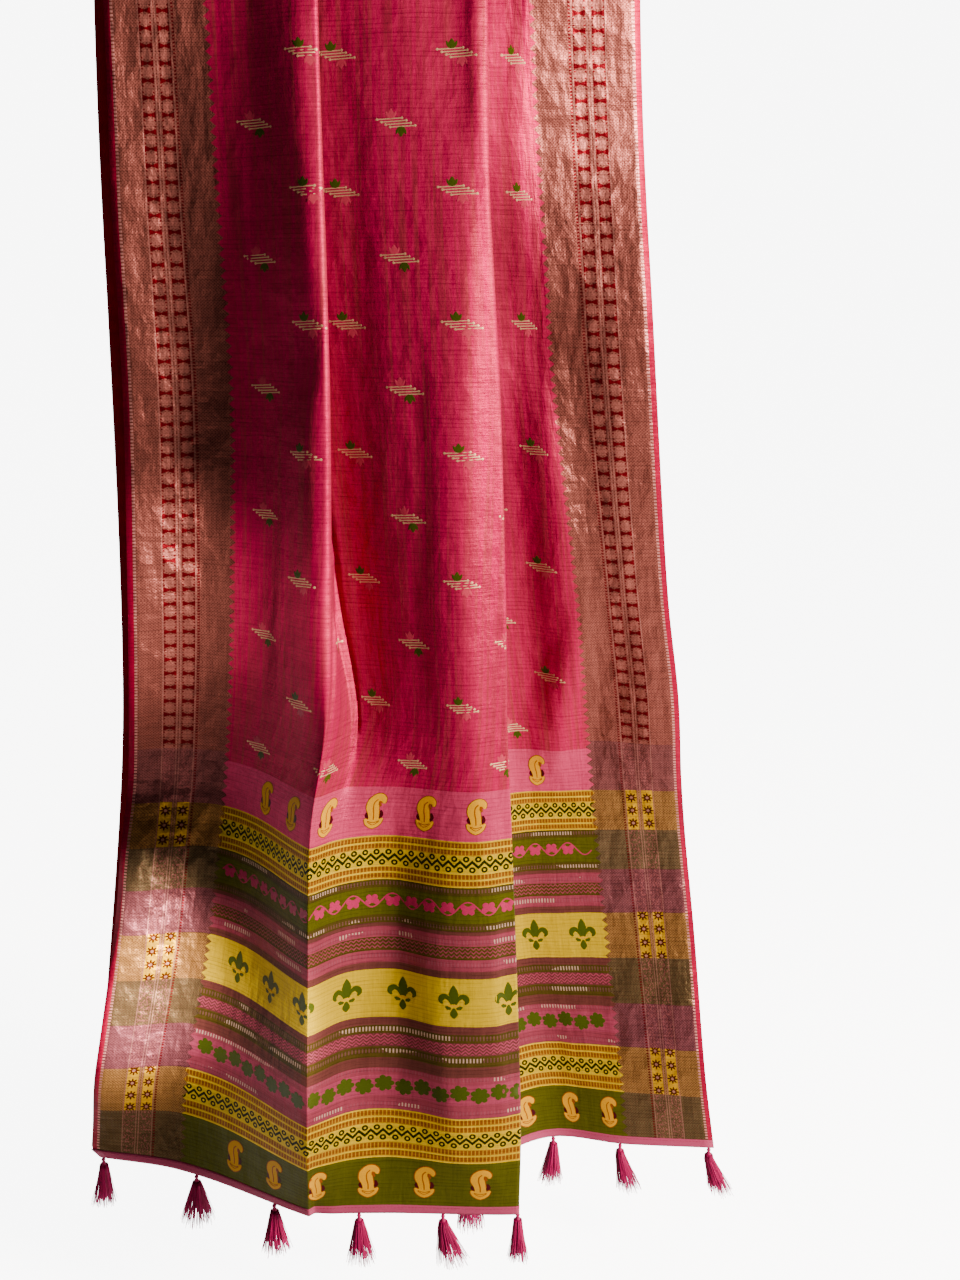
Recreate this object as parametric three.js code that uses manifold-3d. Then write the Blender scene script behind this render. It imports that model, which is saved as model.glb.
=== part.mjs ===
// A silk saree hung over a round rod, its figured end in front, in two lengthwise pleats.
// Millimetres, +Z up. The origin is on the rod's axis at the middle of its length, X runs along the
// rod to the viewer's right, and the front of the cloth faces -Y.
import * as THREE from 'three';
import { mergeVertices } from 'three/addons/utils/BufferGeometryUtils.js';
import Module from 'manifold-3d';

const wasm = await Module();
wasm.setup();

const degree = Math.PI / 180;

// The rod that carries the cloth.
const rodRadius = 12.5;
const rodLength = 800;
const rodSides = 32;

// The cloth's walls, and how its layers lie on each other over the rod.
const clothWall = 1.2;
const hemWall = 2.0;
const innerWall = 3.0;
const seamGap = 0.3;
const innerRadius = rodRadius + 0.5 + innerWall / 2;
const layerPitch = 3;
const rightPanelRadius = innerRadius + innerWall / 2 + 2;
const centreRadius = rightPanelRadius + 2 * layerPitch;

// The front hangs forward of the upright, because its pleats stand out below the rod.
const frontLean = 5 * degree;
const frontDrop = 1830;
const hemHeight = 13;
const hemCorner = 15;
const backDrop = 1690;
const turnSteps = 6;
const frontRows = 24;
const backRows = 10;
const cornerRound = 30;
const cornerInset = 14;

// The front at each drop below the rod: how far along X each named line lies, and how far behind
// the centre panel's plane. Ridge 1 ends the left panel and ridge 2 the centre panel, each with its
// pleat turned under behind it. Roll is the thickness of a ridge's soft fold.
const frontTable = [
  { drop: 0, edgeL: [-325, -3], bandL: [-198, -5], ridge1: [-58, -4.5], under1: [-112, -1.5], mid: [44, 0],
    swell: [122, 0], ridge2: [150, 1.5], under2: [-44, 4.5], valley: [172, 6], bandR: [202, 6],
    edgeR: [338, 6], roll: 3 },
  { drop: 190, edgeL: [-327, 32], bandL: [-197, 30], ridge1: [-57, -8], under1: [-108, 24], mid: [44, 0],
    swell: [124, -2], ridge2: [151, -2], under2: [-34, 24], valley: [173, 38], bandR: [202, 48],
    edgeR: [343, 50], roll: 7 },
  { drop: 435, edgeL: [-331, 48], bandL: [-192, 45], ridge1: [-53, -12], under1: [-100, 30], mid: [42, 0],
    swell: [120, -11], ridge2: [154, -4], under2: [-20, 44], valley: [177, 80], bandR: [217, 95],
    edgeR: [359, 95], roll: 10 },
  { drop: 690, edgeL: [-331, 70], bandL: [-185, 65], ridge1: [-49, -18], under1: [-82, 34], mid: [39, 0],
    swell: [118, -20], ridge2: [168, -4], under2: [5, 62], valley: [182, 120], bandR: [237, 135],
    edgeR: [380, 135], roll: 12 },
  { drop: 960, edgeL: [-341, 95], bandL: [-194, 85], ridge1: [-52, -25], under1: [-50, 30], mid: [37, 0],
    swell: [120, -27], ridge2: [176, -8], under2: [45, 80], valley: [186, 162], bandR: [270, 178],
    edgeR: [404, 183], roll: 12 },
  { drop: 1110, edgeL: [-351, 122], bandL: [-205, 112], ridge1: [-56, -38], under1: [-27, 18], mid: [35, 0],
    swell: [124, -28], ridge2: [178, -8], under2: [75, 92], valley: [189, 190], bandR: [287, 205],
    edgeR: [425, 210], roll: 9 },
  { drop: 1255, edgeL: [-365, 155], bandL: [-221, 138], ridge1: [-79, -52], under1: [-43, -8], mid: [34, 0],
    swell: [134, -25], ridge2: [184, -8], under2: [100, 100], valley: [192, 205], bandR: [302, 226],
    edgeR: [438, 230], roll: 6 },
  { drop: 1490, edgeL: [-391, 160], bandL: [-248, 140], ridge1: [-86, -58], under1: [-44, -10], mid: [32, 0],
    swell: [136, -30], ridge2: [193, -10], under2: [112, 105], valley: [196, 212], bandR: [328, 222],
    edgeR: [464, 222], roll: 6 },
  { drop: 1705, edgeL: [-427, 160], bandL: [-287, 138], ridge1: [-92, -42], under1: [-47, -8], mid: [30, 0],
    swell: [138, -20], ridge2: [199, -5], under2: [118, 110], valley: [229, 220], bandR: [352, 205],
    edgeR: [482, 185], roll: 8 },
  { drop: 1830, edgeL: [-446, 160], bandL: [-298, 118], ridge1: [-96, -4], under1: [-49, 0], mid: [29, 0],
    swell: [139, -4], ridge2: [197, 0], under2: [122, 110], valley: [246, 222], bandR: [363, 200],
    edgeR: [499, 188], roll: 8 },
];

// The back at each drop: each line's place along X, how far behind the rod's axis the pleated cloth
// lies at its left and right edges, and the pitch of its layers.
const backTable = [
  { drop: 0, edgeL: -336, bandL: -208, ridge1: -66, under1: -118, mid: 40, swell: 118, ridge2: 146,
    under2: -48, valley: 168, bandR: 198, edgeR: 330, behindL: 24, behindR: 24, pitch: 3 },
  { drop: 190, edgeL: -347, bandL: -216, ridge1: -70, under1: -120, mid: 39, swell: 119, ridge2: 147,
    under2: -44, valley: 170, bandR: 200, edgeR: 332, behindL: 27, behindR: 34, pitch: 4 },
  { drop: 435, edgeL: -354, bandL: -220, ridge1: -72, under1: -120, mid: 38, swell: 120, ridge2: 148,
    under2: -40, valley: 172, bandR: 206, edgeR: 336, behindL: 30, behindR: 58, pitch: 5 },
  { drop: 960, edgeL: -364, bandL: -226, ridge1: -76, under1: -116, mid: 38, swell: 124, ridge2: 156,
    under2: -20, valley: 184, bandR: 236, edgeR: 366, behindL: 40, behindR: 104, pitch: 7 },
  { drop: 1255, edgeL: -382, bandL: -242, ridge1: -84, under1: -118, mid: 36, swell: 130, ridge2: 166,
    under2: -5, valley: 196, bandR: 256, edgeR: 388, behindL: 52, behindR: 124, pitch: 7 },
  { drop: 1690, edgeL: -435, bandL: -298, ridge1: -110, under1: -140, mid: 30, swell: 140, ridge2: 180,
    under2: 10, valley: 214, bandR: 300, edgeR: 434, behindL: 52, behindR: 96, pitch: 5 },
];
const backEdges = { left: -350, right: 350 };

// How many layers each line of the back lies out from the right panel's.
const backLayer = { edgeL: 3, bandL: 3.7, ridge1: 3.5, under1: 2.5, mid: 2, swell: 2, ridge2: 1.5,
  under2: 0.5, valley: 0, bandR: 0, edgeR: 0 };

// The inner stretch: its left and right edges at the rod and at the bottom fold. It lies as far in
// front of the back's innermost layer as the bottom fold is wide.
const innerSpan = { topL: -300, topR: 300, lowL: -380, lowR: 390 };
const innerColumns = 14;
const innerRows = 10;
const innerEndAngle = 25 * degree;
const innerClearDrop = 190;
const foldRadius = 4;
const foldAngles = [45 * degree, Math.PI / 2];
const foldPast = 135 * degree;

// Points between one control point of a section and the next, from the left edge to the right.
const spanSteps = [3, 5, 2, 2, 3, 2, 2, 3, 3, 2, 2, 2, 4, 2, 2, 4, 2, 3];

// Tassels, hung from the hem from corner to corner.
const strandCount = 16;
const tasselLength = 78;
const tasselSpread = 22;
const headLength = 17;
const strandRoot = 1.0;
const strandTip = 0.7;
const strandRootSpread = 3.4;
const strandRootDepth = 4;
const strandBendDrop = 44;
const strandBendShare = 0.62;
const raggedness = 7;
// Each tassel's place along the hem's own length from its left end, how far its tip hangs to the
// right of its root, and how widely it opens. The seventh hangs on the pleat turned under ridge 2.
const tasselTable = [
  { along: 5, lean: -3, open: 0.75 },
  { along: 163, lean: -2, open: 1.1 },
  { along: 312, lean: 1, open: 0.9 },
  { along: 449, lean: 2, open: 0.9 },
  { along: 568, lean: 14, open: 1.0 },
  { along: 680, lean: 1, open: 0.6 },
  { along: 817, lean: 2, open: 0.85 },
  { along: 990, lean: -4, open: 0.8 },
  { along: 1095, lean: 16, open: 0.8 },
  { along: 1230, lean: 22, open: 0.75 },
];

const lineNames = ['edgeL', 'bandL', 'ridge1', 'under1', 'mid', 'swell', 'ridge2', 'under2', 'valley',
  'bandR', 'edgeR'];
const foldNames = ['ridge1', 'under1', 'ridge2', 'under2'];
// How far a fold's nose reaches, as a share of its roll.
const foldReach = 0.6;

// A smooth value between the rows of a table: a cubic that leaves the first row level.
function between(table, drop, read) {
  let k = 0;
  while (k < table.length - 2 && table[k + 1].drop < drop) k += 1;
  const slope = (n) => {
    if (n === 0) return 0;
    const low = Math.max(n - 1, 0);
    const high = Math.min(n + 1, table.length - 1);
    return (read(table[high]) - read(table[low])) / (table[high].drop - table[low].drop);
  };
  const span = table[k + 1].drop - table[k].drop;
  const t = (drop - table[k].drop) / span;
  const rise = t * t * (3 - 2 * t);
  return read(table[k]) * (1 - rise) + read(table[k + 1]) * rise
    + slope(k) * span * t * (1 - t) * (1 - t) - slope(k + 1) * span * t * t * (1 - t);
}

// A section's control points. Each fold gets a soft nose: the layer that comes in lies outwards of
// the one that goes out, by the fold's roll.
function controlPoints(lines, roll, outward) {
  const points = [];
  lineNames.forEach((name, n) => {
    const [x, y] = lines[name];
    if (!foldNames.includes(name)) {
      points.push(new THREE.Vector3(x, y, 0));
      return;
    }
    const reach = roll * foldReach;
    const towards = (other) => THREE.MathUtils.clamp(lines[other][0] - x, -reach, reach);
    const half = outward * roll / 2;
    points.push(new THREE.Vector3(x + towards(lineNames[n - 1]), y + half, 0));
    points.push(new THREE.Vector3(x, y, 0));
    points.push(new THREE.Vector3(x + towards(lineNames[n + 1]), y - half, 0));
  });
  return points;
}

// The section's middle line as points, spaced by the steps of each span. At a control point the
// line heads from the point before it to the one after it.
function sectionLine(lines, roll, outward) {
  const points = controlPoints(lines, roll, outward);
  const last = points.length - 1;
  const heading = points.map((_, n) => new THREE.Vector3()
    .subVectors(points[Math.min(n + 1, last)], points[Math.max(n - 1, 0)]).normalize());
  const line = [];
  spanSteps.forEach((steps, n) => {
    const chord = points[n].distanceTo(points[n + 1]);
    for (let k = 0; k < steps; k += 1) {
      const t = k / steps;
      const rise = t * t * (3 - 2 * t);
      line.push(points[n].clone().lerp(points[n + 1], rise)
        .addScaledVector(heading[n], chord * t * (1 - t) * (1 - t))
        .addScaledVector(heading[n + 1], -chord * t * t * (1 - t)));
    }
  });
  line.push(points[last]);
  return line;
}

function frontSection(drop) {
  const lines = {};
  for (const name of lineNames) {
    lines[name] = [0, 1].map((n) => between(frontTable, drop, (row) => row[name][n]));
  }
  return sectionLine(lines, between(frontTable, drop, (row) => row.roll), -1);
}

// How far behind the rod's axis the back's innermost layer lies.
function backBase(drop, x) {
  const behindL = between(backTable, drop, (row) => row.behindL);
  const behindR = between(backTable, drop, (row) => row.behindR);
  const share = THREE.MathUtils.smoothstep(x, backEdges.left, backEdges.right);
  const pitch = between(backTable, drop, (row) => row.pitch);
  return THREE.MathUtils.lerp(behindL, behindR, share) - 2 * pitch;
}

function backSection(drop) {
  const pitch = between(backTable, drop, (row) => row.pitch);
  const lines = {};
  for (const name of lineNames) {
    const x = between(backTable, drop, (row) => row[name]);
    lines[name] = [x, backBase(drop, x) + backLayer[name] * pitch];
  }
  return sectionLine(lines, pitch, 1);
}

// A front point in the part's frame: the section is set at its drop and leant forward.
function frontPoint(point, drop) {
  const y = point.y - centreRadius;
  return new THREE.Vector3(
    point.x,
    y * Math.cos(frontLean) - drop * Math.sin(frontLean),
    -y * Math.sin(frontLean) - drop * Math.cos(frontLean),
  );
}

function frontRow(drop) {
  return frontSection(drop).map((point) => frontPoint(point, drop));
}

function backRow(drop) {
  return backSection(drop).map((point) => new THREE.Vector3(point.x, point.y, -drop));
}

// A row of the turn over the rod, at a share of the way from the front to the back. Each column
// keeps its layer's own radius.
function turnRow(share) {
  const front = frontSection(0);
  const back = backSection(0);
  const angle = THREE.MathUtils.lerp(frontLean, Math.PI, share);
  return front.map((point, n) => {
    const radius = THREE.MathUtils.lerp(centreRadius - point.y, back[n].y, share);
    const x = THREE.MathUtils.lerp(point.x, back[n].x, share);
    return new THREE.Vector3(x, -radius * Math.cos(angle), radius * Math.sin(angle));
  });
}

// Rows at even steps from one drop to another, without the first.
function rowsDown(first, last, count, row) {
  return Array.from({ length: count }, (_, n) => row(first + (last - first) * (n + 1) / count));
}

// A closed wall of the given thickness about a grid of middle points. Rows run down the cloth and
// columns across it, seen from outside from left to right. The cloth's next rows above and below,
// where it goes on in another piece, give the ends their true slope.
function wall(rows, thickness, above = rows[0], below = rows[rows.length - 1]) {
  const rowCount = rows.length;
  const columnCount = rows[0].length;
  const across = new THREE.Vector3();
  const down = new THREE.Vector3();
  const sides = [[], []];
  const padded = [above, ...rows, below];
  for (let r = 0; r < rowCount; r += 1) {
    for (let c = 0; c < columnCount; c += 1) {
      across.subVectors(rows[r][Math.min(c + 1, columnCount - 1)], rows[r][Math.max(c - 1, 0)]);
      down.subVectors(padded[r + 2][c], padded[r][c]);
      const normal = new THREE.Vector3().crossVectors(down, across).normalize();
      sides[0].push(rows[r][c].clone().addScaledVector(normal, thickness / 2));
      sides[1].push(rows[r][c].clone().addScaledVector(normal, -thickness / 2));
    }
  }
  const total = rowCount * columnCount;
  const positions = sides.flat().flatMap((point) => point.toArray());
  const at = (side, r, c) => side * total + r * columnCount + c;
  const indices = [];
  const quad = (a, b, c, d) => indices.push(a, b, c, a, c, d);
  for (let r = 0; r + 1 < rowCount; r += 1) {
    for (let c = 0; c + 1 < columnCount; c += 1) {
      quad(at(0, r, c), at(0, r + 1, c), at(0, r + 1, c + 1), at(0, r, c + 1));
      quad(at(1, r, c), at(1, r, c + 1), at(1, r + 1, c + 1), at(1, r + 1, c));
    }
    quad(at(0, r, 0), at(1, r, 0), at(1, r + 1, 0), at(0, r + 1, 0));
    const end = columnCount - 1;
    quad(at(0, r, end), at(0, r + 1, end), at(1, r + 1, end), at(1, r, end));
  }
  for (let c = 0; c + 1 < columnCount; c += 1) {
    const end = rowCount - 1;
    quad(at(0, 0, c), at(0, 0, c + 1), at(1, 0, c + 1), at(1, 0, c));
    quad(at(0, end, c), at(1, end, c), at(1, end, c + 1), at(0, end, c + 1));
  }
  const geometry = new THREE.BufferGeometry();
  geometry.setAttribute('position', new THREE.Float32BufferAttribute(positions, 3));
  geometry.setIndex(indices);
  return geometry;
}

// The front: the fore half of the turn, and the drop to the hem band.
function frontStretch() {
  const half = turnSteps / 2;
  const rows = [];
  for (let n = 0; n < half; n += 1) {
    const start = 0.5 - seamGap / 2 / (Math.PI * centreRadius);
    rows.push(turnRow(start * (1 - n / half)));
  }
  rows.push(frontRow(0));
  rows.push(...rowsDown(0, frontDrop - hemHeight, frontRows, frontRow));
  return wall(rows, clothWall, turnRow(0.5 + 0.5 / half), frontRow(frontDrop));
}

// The lowest row of the hem, its left corner drawn in by the tassel's stitches.
function hemLine() {
  const row = frontRow(frontDrop);
  const border = spanSteps[0];
  return row.map((point, n) => {
    const share = Math.max(1 - n / border, 0);
    return new THREE.Vector3(point.x + hemCorner * share, point.y, point.z);
  });
}

// The turned hem along the figured end.
function hemBand() {
  const top = frontDrop - hemHeight + seamGap;
  return wall([frontRow(top), hemLine()], hemWall, frontRow(top - hemHeight));
}

// The back's left edge rounds inwards just above the bottom fold.
function roundCorner(row, drop) {
  const t = THREE.MathUtils.clamp((drop - backDrop + cornerRound) / cornerRound, 0, 1);
  const inset = cornerInset * (1 - Math.sqrt(1 - t * t));
  const edge = row[0].x;
  const inner = row[spanSteps[0]].x;
  return row.map((point) => {
    const share = THREE.MathUtils.clamp((inner - point.x) / (inner - edge), 0, 1);
    return new THREE.Vector3(point.x + inset * share, point.y, point.z);
  });
}

// A row of the bottom fold, turned under by an angle from the lowest row of the back (side 1) or of
// the inner stretch (side -1). The two meet at the fold's lowest line, a seam's gap apart.
function foldRow(row, angle, side) {
  return row.map((point) => {
    const pivot = backBase(backDrop, point.x) - foldRadius;
    const radius = Math.abs(point.y - pivot);
    const short = side * (angle === Math.PI / 2 ? seamGap / 2 : 0);
    return new THREE.Vector3(
      point.x,
      pivot + side * radius * Math.cos(angle) + short,
      -backDrop - radius * Math.sin(angle),
    );
  });
}

// The back: the rear half of the turn, the drop, and a quarter turn under at the bottom fold.
function backStretch() {
  const half = turnSteps / 2;
  const start = 0.5 + seamGap / 2 / (Math.PI * centreRadius);
  const rows = [];
  for (let n = 0; n < half; n += 1) rows.push(turnRow(start + (1 - start) * n / half));
  rows.push(backRow(0));
  rows.push(...rowsDown(0, backDrop - cornerRound, backRows, backRow));
  rows.push(roundCorner(backRow(backDrop), backDrop));
  const last = rows[rows.length - 1];
  for (const angle of foldAngles) rows.push(foldRow(last, angle, 1));
  return wall(rows, clothWall, turnRow(0.5 - 0.5 / half), foldRow(last, foldPast, 1));
}

// The inner stretch: the rest of the cloth, folded lengthwise with its layers pressed together. It
// rises from the bottom fold and lies over the rod under the outer cloth.
function innerStretch() {
  const across = (drop) => Array.from({ length: innerColumns + 1 }, (_, n) => {
    const share = n / innerColumns;
    const left = THREE.MathUtils.lerp(innerSpan.topL, innerSpan.lowL, drop / backDrop);
    const right = THREE.MathUtils.lerp(innerSpan.topR, innerSpan.lowR, drop / backDrop);
    return THREE.MathUtils.lerp(left, right, share);
  });
  const rows = [];
  for (let n = 0; n < turnSteps; n += 1) {
    const angle = THREE.MathUtils.lerp(innerEndAngle, Math.PI, n / turnSteps);
    rows.push(across(0).map((x) => new THREE.Vector3(
      x, -innerRadius * Math.cos(angle), innerRadius * Math.sin(angle))));
  }
  const depth = (drop, x) => {
    const away = THREE.MathUtils.smoothstep(drop, 0, innerClearDrop);
    return THREE.MathUtils.lerp(innerRadius, backBase(drop, x) - 2 * foldRadius, away);
  };
  for (let n = 0; n <= innerRows; n += 1) {
    const drop = backDrop * n / innerRows;
    rows.push(across(drop).map((x) => new THREE.Vector3(x, depth(drop, x), -drop)));
  }
  const last = rows[rows.length - 1];
  for (const angle of foldAngles) rows.push(foldRow(last, angle, -1));
  return wall(rows, innerWall, rows[0], foldRow(last, foldPast, -1));
}

function solidOf(geometry) {
  geometry.deleteAttribute('normal');
  geometry.deleteAttribute('uv');
  const merged = mergeVertices(geometry);
  return new wasm.Manifold(new wasm.Mesh({
    numProp: 3,
    vertProperties: new Float32Array(merged.attributes.position.array),
    triVerts: new Uint32Array(merged.index.array),
  }));
}

function geometryOf(solid) {
  const mesh = solid.getMesh();
  const geometry = new THREE.BufferGeometry();
  geometry.setAttribute('position', new THREE.BufferAttribute(new Float32Array(mesh.vertProperties), 3));
  geometry.setIndex(new THREE.BufferAttribute(new Uint32Array(mesh.triVerts), 1));
  return geometry;
}

// A tassel's head: a small knotted bead over a bound skirt, from its top at the origin downwards.
function tasselHead() {
  const profile = [[0, -headLength], [5.2, -headLength + 1.5], [3.2, -8], [2.2, -6], [3.2, -3.5], [2, -0.6],
    [0, 0]];
  const headSides = 8;
  const head = new THREE.LatheGeometry(profile.map(([r, z]) => new THREE.Vector2(r, z)), headSides);
  return solidOf(head.rotateX(Math.PI / 2));
}

// A strand: a three-sided tapering bundle of threads that bends outwards and down.
function strand(root, bend, tip) {
  const centres = [root, bend, tip];
  const widths = [strandRoot, strandRoot, strandTip];
  const corners = 3;
  const positions = [];
  centres.forEach((centre, n) => {
    for (let k = 0; k < corners; k += 1) {
      const angle = 2 * Math.PI * k / corners;
      positions.push(
        centre.x + widths[n] * Math.cos(angle),
        centre.y + widths[n] * Math.sin(angle),
        centre.z,
      );
    }
  });
  const indices = [2, 1, 0, 6, 7, 8];
  for (let n = 0; n + 1 < centres.length; n += 1) {
    for (let k = 0; k < corners; k += 1) {
      const a = n * corners + k;
      const b = n * corners + (k + 1) % corners;
      indices.push(a, b, a + corners, b, b + corners, a + corners);
    }
  }
  indices.reverse();
  const geometry = new THREE.BufferGeometry();
  geometry.setAttribute('position', new THREE.Float32BufferAttribute(positions, 3));
  geometry.setIndex(indices);
  return solidOf(geometry);
}

// One tassel, hung from the origin, its strands on a sunflower pattern that opens towards the tips.
function tassel({ lean, open }) {
  const goldenTurn = Math.PI * (3 - Math.sqrt(5));
  const raggedStep = 5;
  const parts = [tasselHead()];
  for (let n = 0; n < strandCount; n += 1) {
    const out = Math.sqrt((n + 0.5) / strandCount);
    const angle = n * goldenTurn;
    const aside = new THREE.Vector2(Math.cos(angle), Math.sin(angle)).multiplyScalar(out);
    const tipDrop = tasselLength - raggedness * ((n * raggedStep) % strandCount) / strandCount;
    const place = (spread, drop) => {
      const sway = lean * ((drop - headLength) / (tasselLength - headLength));
      return new THREE.Vector3(aside.x * spread + sway, aside.y * spread, -drop);
    };
    const root = new THREE.Vector3(aside.x, aside.y, 0).multiplyScalar(strandRootSpread);
    root.z = strandRootDepth - headLength;
    const bend = place(tasselSpread * open * strandBendShare, strandBendDrop);
    parts.push(strand(root, bend, place(tasselSpread * open, tipDrop)));
  }
  return geometryOf(wasm.Manifold.union(parts));
}

// The point at a distance along a line of points.
function pointAlong(line, along) {
  let before = 0;
  let k = 1;
  while (k < line.length - 1 && before + line[k].distanceTo(line[k - 1]) < along) {
    before += line[k].distanceTo(line[k - 1]);
    k += 1;
  }
  const share = (along - before) / line[k].distanceTo(line[k - 1]);
  return line[k - 1].clone().lerp(line[k], share);
}

const saree = new THREE.Group();

function add(name, geometry, colour, roughness, metalness) {
  const material = new THREE.MeshStandardMaterial({ color: colour, roughness, metalness });
  const mesh = new THREE.Mesh(geometry, material);
  mesh.name = name;
  saree.add(mesh);
  return mesh;
}

const rod = new THREE.CylinderGeometry(rodRadius, rodRadius, rodLength, rodSides);
add('rod', rod, 0xb58a5a, 0.55, 0.0).rotation.z = Math.PI / 2;
add('front_stretch', frontStretch(), 0xc02848, 0.5, 0.1);
add('hem_band', hemBand(), 0xb85072, 0.6, 0.0);
add('back_stretch', backStretch(), 0xa8213a, 0.5, 0.1);
add('inner_stretch', innerStretch(), 0x4a0810, 0.7, 0.0);
tasselTable.forEach((row, n) => {
  const mesh = add(`tassel_${String(n + 1).padStart(2, '0')}`, tassel(row), 0xb0106a, 0.6, 0.0);
  mesh.position.copy(pointAlong(hemLine(), row.along));
  mesh.position.z -= seamGap;
});

export default saree;
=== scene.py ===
# A silk saree hung over a round rod, its figured end in front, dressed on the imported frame.
# Lengths are worked out in millimetres in the frame's axes and turned to metres for Blender. +Z is up,
# X runs along the rod and the front of the cloth faces -Y.
import math

import bpy
import numpy as np
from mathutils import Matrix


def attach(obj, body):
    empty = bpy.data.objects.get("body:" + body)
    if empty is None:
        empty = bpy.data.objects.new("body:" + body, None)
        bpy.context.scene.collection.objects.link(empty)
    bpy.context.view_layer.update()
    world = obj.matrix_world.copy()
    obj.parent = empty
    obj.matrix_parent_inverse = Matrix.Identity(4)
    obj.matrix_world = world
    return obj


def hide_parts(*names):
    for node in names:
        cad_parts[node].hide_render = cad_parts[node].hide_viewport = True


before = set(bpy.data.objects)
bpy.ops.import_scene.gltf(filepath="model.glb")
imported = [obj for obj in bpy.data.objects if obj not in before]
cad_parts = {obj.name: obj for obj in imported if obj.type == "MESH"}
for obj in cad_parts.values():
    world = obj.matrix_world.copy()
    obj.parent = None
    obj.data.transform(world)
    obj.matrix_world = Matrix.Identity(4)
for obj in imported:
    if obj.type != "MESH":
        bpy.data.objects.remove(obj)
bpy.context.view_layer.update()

MM = 0.001

# The rod and the way the cloth lies over it, as in the part's source.
ROD_RADIUS = 12.5
INNER_WALL = 3.0
INNER_RADIUS = ROD_RADIUS + 0.5 + INNER_WALL / 2
CENTRE_RADIUS = INNER_RADIUS + INNER_WALL / 2 + 2 + 6
FRONT_LEAN = math.radians(5)
FRONT_DROP = 1830
HEM_HEIGHT = 13
HEM_CORNER = 15
BACK_DROP = 1690
CORNER_ROUND = 30
CORNER_INSET = 14
FOLD_RADIUS = 4
FOLD_REACH = 0.6
OPEN_DROPS = (1130, 1260)
OPEN_REACH = 0.4

# The visible cloth: the thickness of each piece here, the cut width, and the length over the rod.
CLOTH_THICKNESS = 0.8
HEM_THICKNESS = 1.7
INNER_THICKNESS = 2.4
CLOTH_WIDTH = 1150
TURN_LENGTH = 80

# Named lines across the cloth from its left selvedge to its right. Ridge 1 ends the left panel and
# ridge 2 the centre panel, each with its pleat turned under behind it.
LINES = ("edge_left", "band_left", "ridge1", "under1", "mid", "swell", "ridge2", "under2", "valley",
         "band_right", "edge_right")
FOLDS = ("ridge1", "under1", "ridge2", "under2")

# The front at each drop below the rod: each line's place along X, and how far it lies behind the
# centre panel's plane. Roll is the thickness of a ridge's soft fold.
FRONT_DROPS = (0, 190, 435, 690, 960, 1110, 1255, 1490, 1705, 1830)
FRONT_X = {
    "edge_left": (-325, -327, -331, -331, -341, -351, -365, -391, -427, -446),
    "band_left": (-198, -197, -192, -185, -194, -205, -221, -248, -287, -298),
    "ridge1": (-58, -57, -53, -49, -52, -56, -79, -86, -92, -96),
    "under1": (-112, -108, -100, -82, -50, -27, -43, -44, -47, -49),
    "mid": (44, 44, 42, 39, 37, 35, 34, 32, 30, 29),
    "swell": (122, 124, 120, 118, 120, 124, 134, 136, 138, 139),
    "ridge2": (150, 151, 154, 168, 176, 178, 184, 193, 199, 197),
    "under2": (-44, -34, -20, 5, 45, 75, 100, 112, 118, 122),
    "valley": (172, 173, 177, 182, 186, 189, 192, 196, 229, 246),
    "band_right": (202, 202, 217, 237, 270, 287, 302, 328, 352, 363),
    "edge_right": (338, 343, 359, 380, 404, 425, 438, 464, 482, 499),
}
FRONT_DEPTH = {
    "edge_left": (-3, 32, 48, 70, 95, 122, 155, 160, 160, 160),
    "band_left": (-5, 30, 45, 65, 85, 112, 138, 140, 138, 118),
    "ridge1": (-4.5, -8, -12, -18, -25, -38, -52, -58, -42, -4),
    "under1": (-1.5, 24, 30, 34, 30, 18, -8, -10, -8, 0),
    "mid": (0, 0, 0, 0, 0, 0, 0, 0, 0, 0),
    "swell": (0, -2, -11, -20, -27, -28, -25, -30, -20, -4),
    "ridge2": (1.5, -2, -4, -4, -8, -8, -8, -10, -5, 0),
    "under2": (4.5, 24, 44, 62, 80, 92, 100, 105, 110, 110),
    "valley": (6, 38, 80, 120, 162, 190, 205, 212, 220, 222),
    "band_right": (6, 48, 95, 135, 178, 205, 226, 222, 205, 200),
    "edge_right": (6, 50, 95, 135, 183, 210, 230, 222, 185, 188),
}
FRONT_ROLL = (3, 7, 10, 12, 12, 9, 6, 6, 8, 8)

# The back at each drop: each line's place along X, the depth of its left and right edges behind the
# rod's axis, the pitch of its layers, and how many layers each line lies out.
BACK_DROPS = (0, 190, 435, 960, 1255, 1690)
BACK_X = {
    "edge_left": (-336, -347, -354, -364, -382, -435),
    "band_left": (-208, -216, -220, -226, -242, -298),
    "ridge1": (-66, -70, -72, -76, -84, -110),
    "under1": (-118, -120, -120, -116, -118, -140),
    "mid": (40, 39, 38, 38, 36, 30),
    "swell": (118, 119, 120, 124, 130, 140),
    "ridge2": (146, 147, 148, 156, 166, 180),
    "under2": (-48, -44, -40, -20, -5, 10),
    "valley": (168, 170, 172, 184, 196, 214),
    "band_right": (198, 200, 206, 236, 256, 300),
    "edge_right": (330, 332, 336, 366, 388, 434),
}
BACK_BEHIND_LEFT = (24, 27, 30, 40, 52, 52)
BACK_BEHIND_RIGHT = (24, 34, 58, 104, 124, 96)
BACK_PITCH = (3, 4, 5, 7, 7, 5)
BACK_LAYER = {"edge_left": 3, "band_left": 3.7, "ridge1": 3.5, "under1": 2.5, "mid": 2, "swell": 2,
              "ridge2": 1.5, "under2": 0.5, "valley": 0, "band_right": 0, "edge_right": 0}
BACK_EDGE = 350

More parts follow.
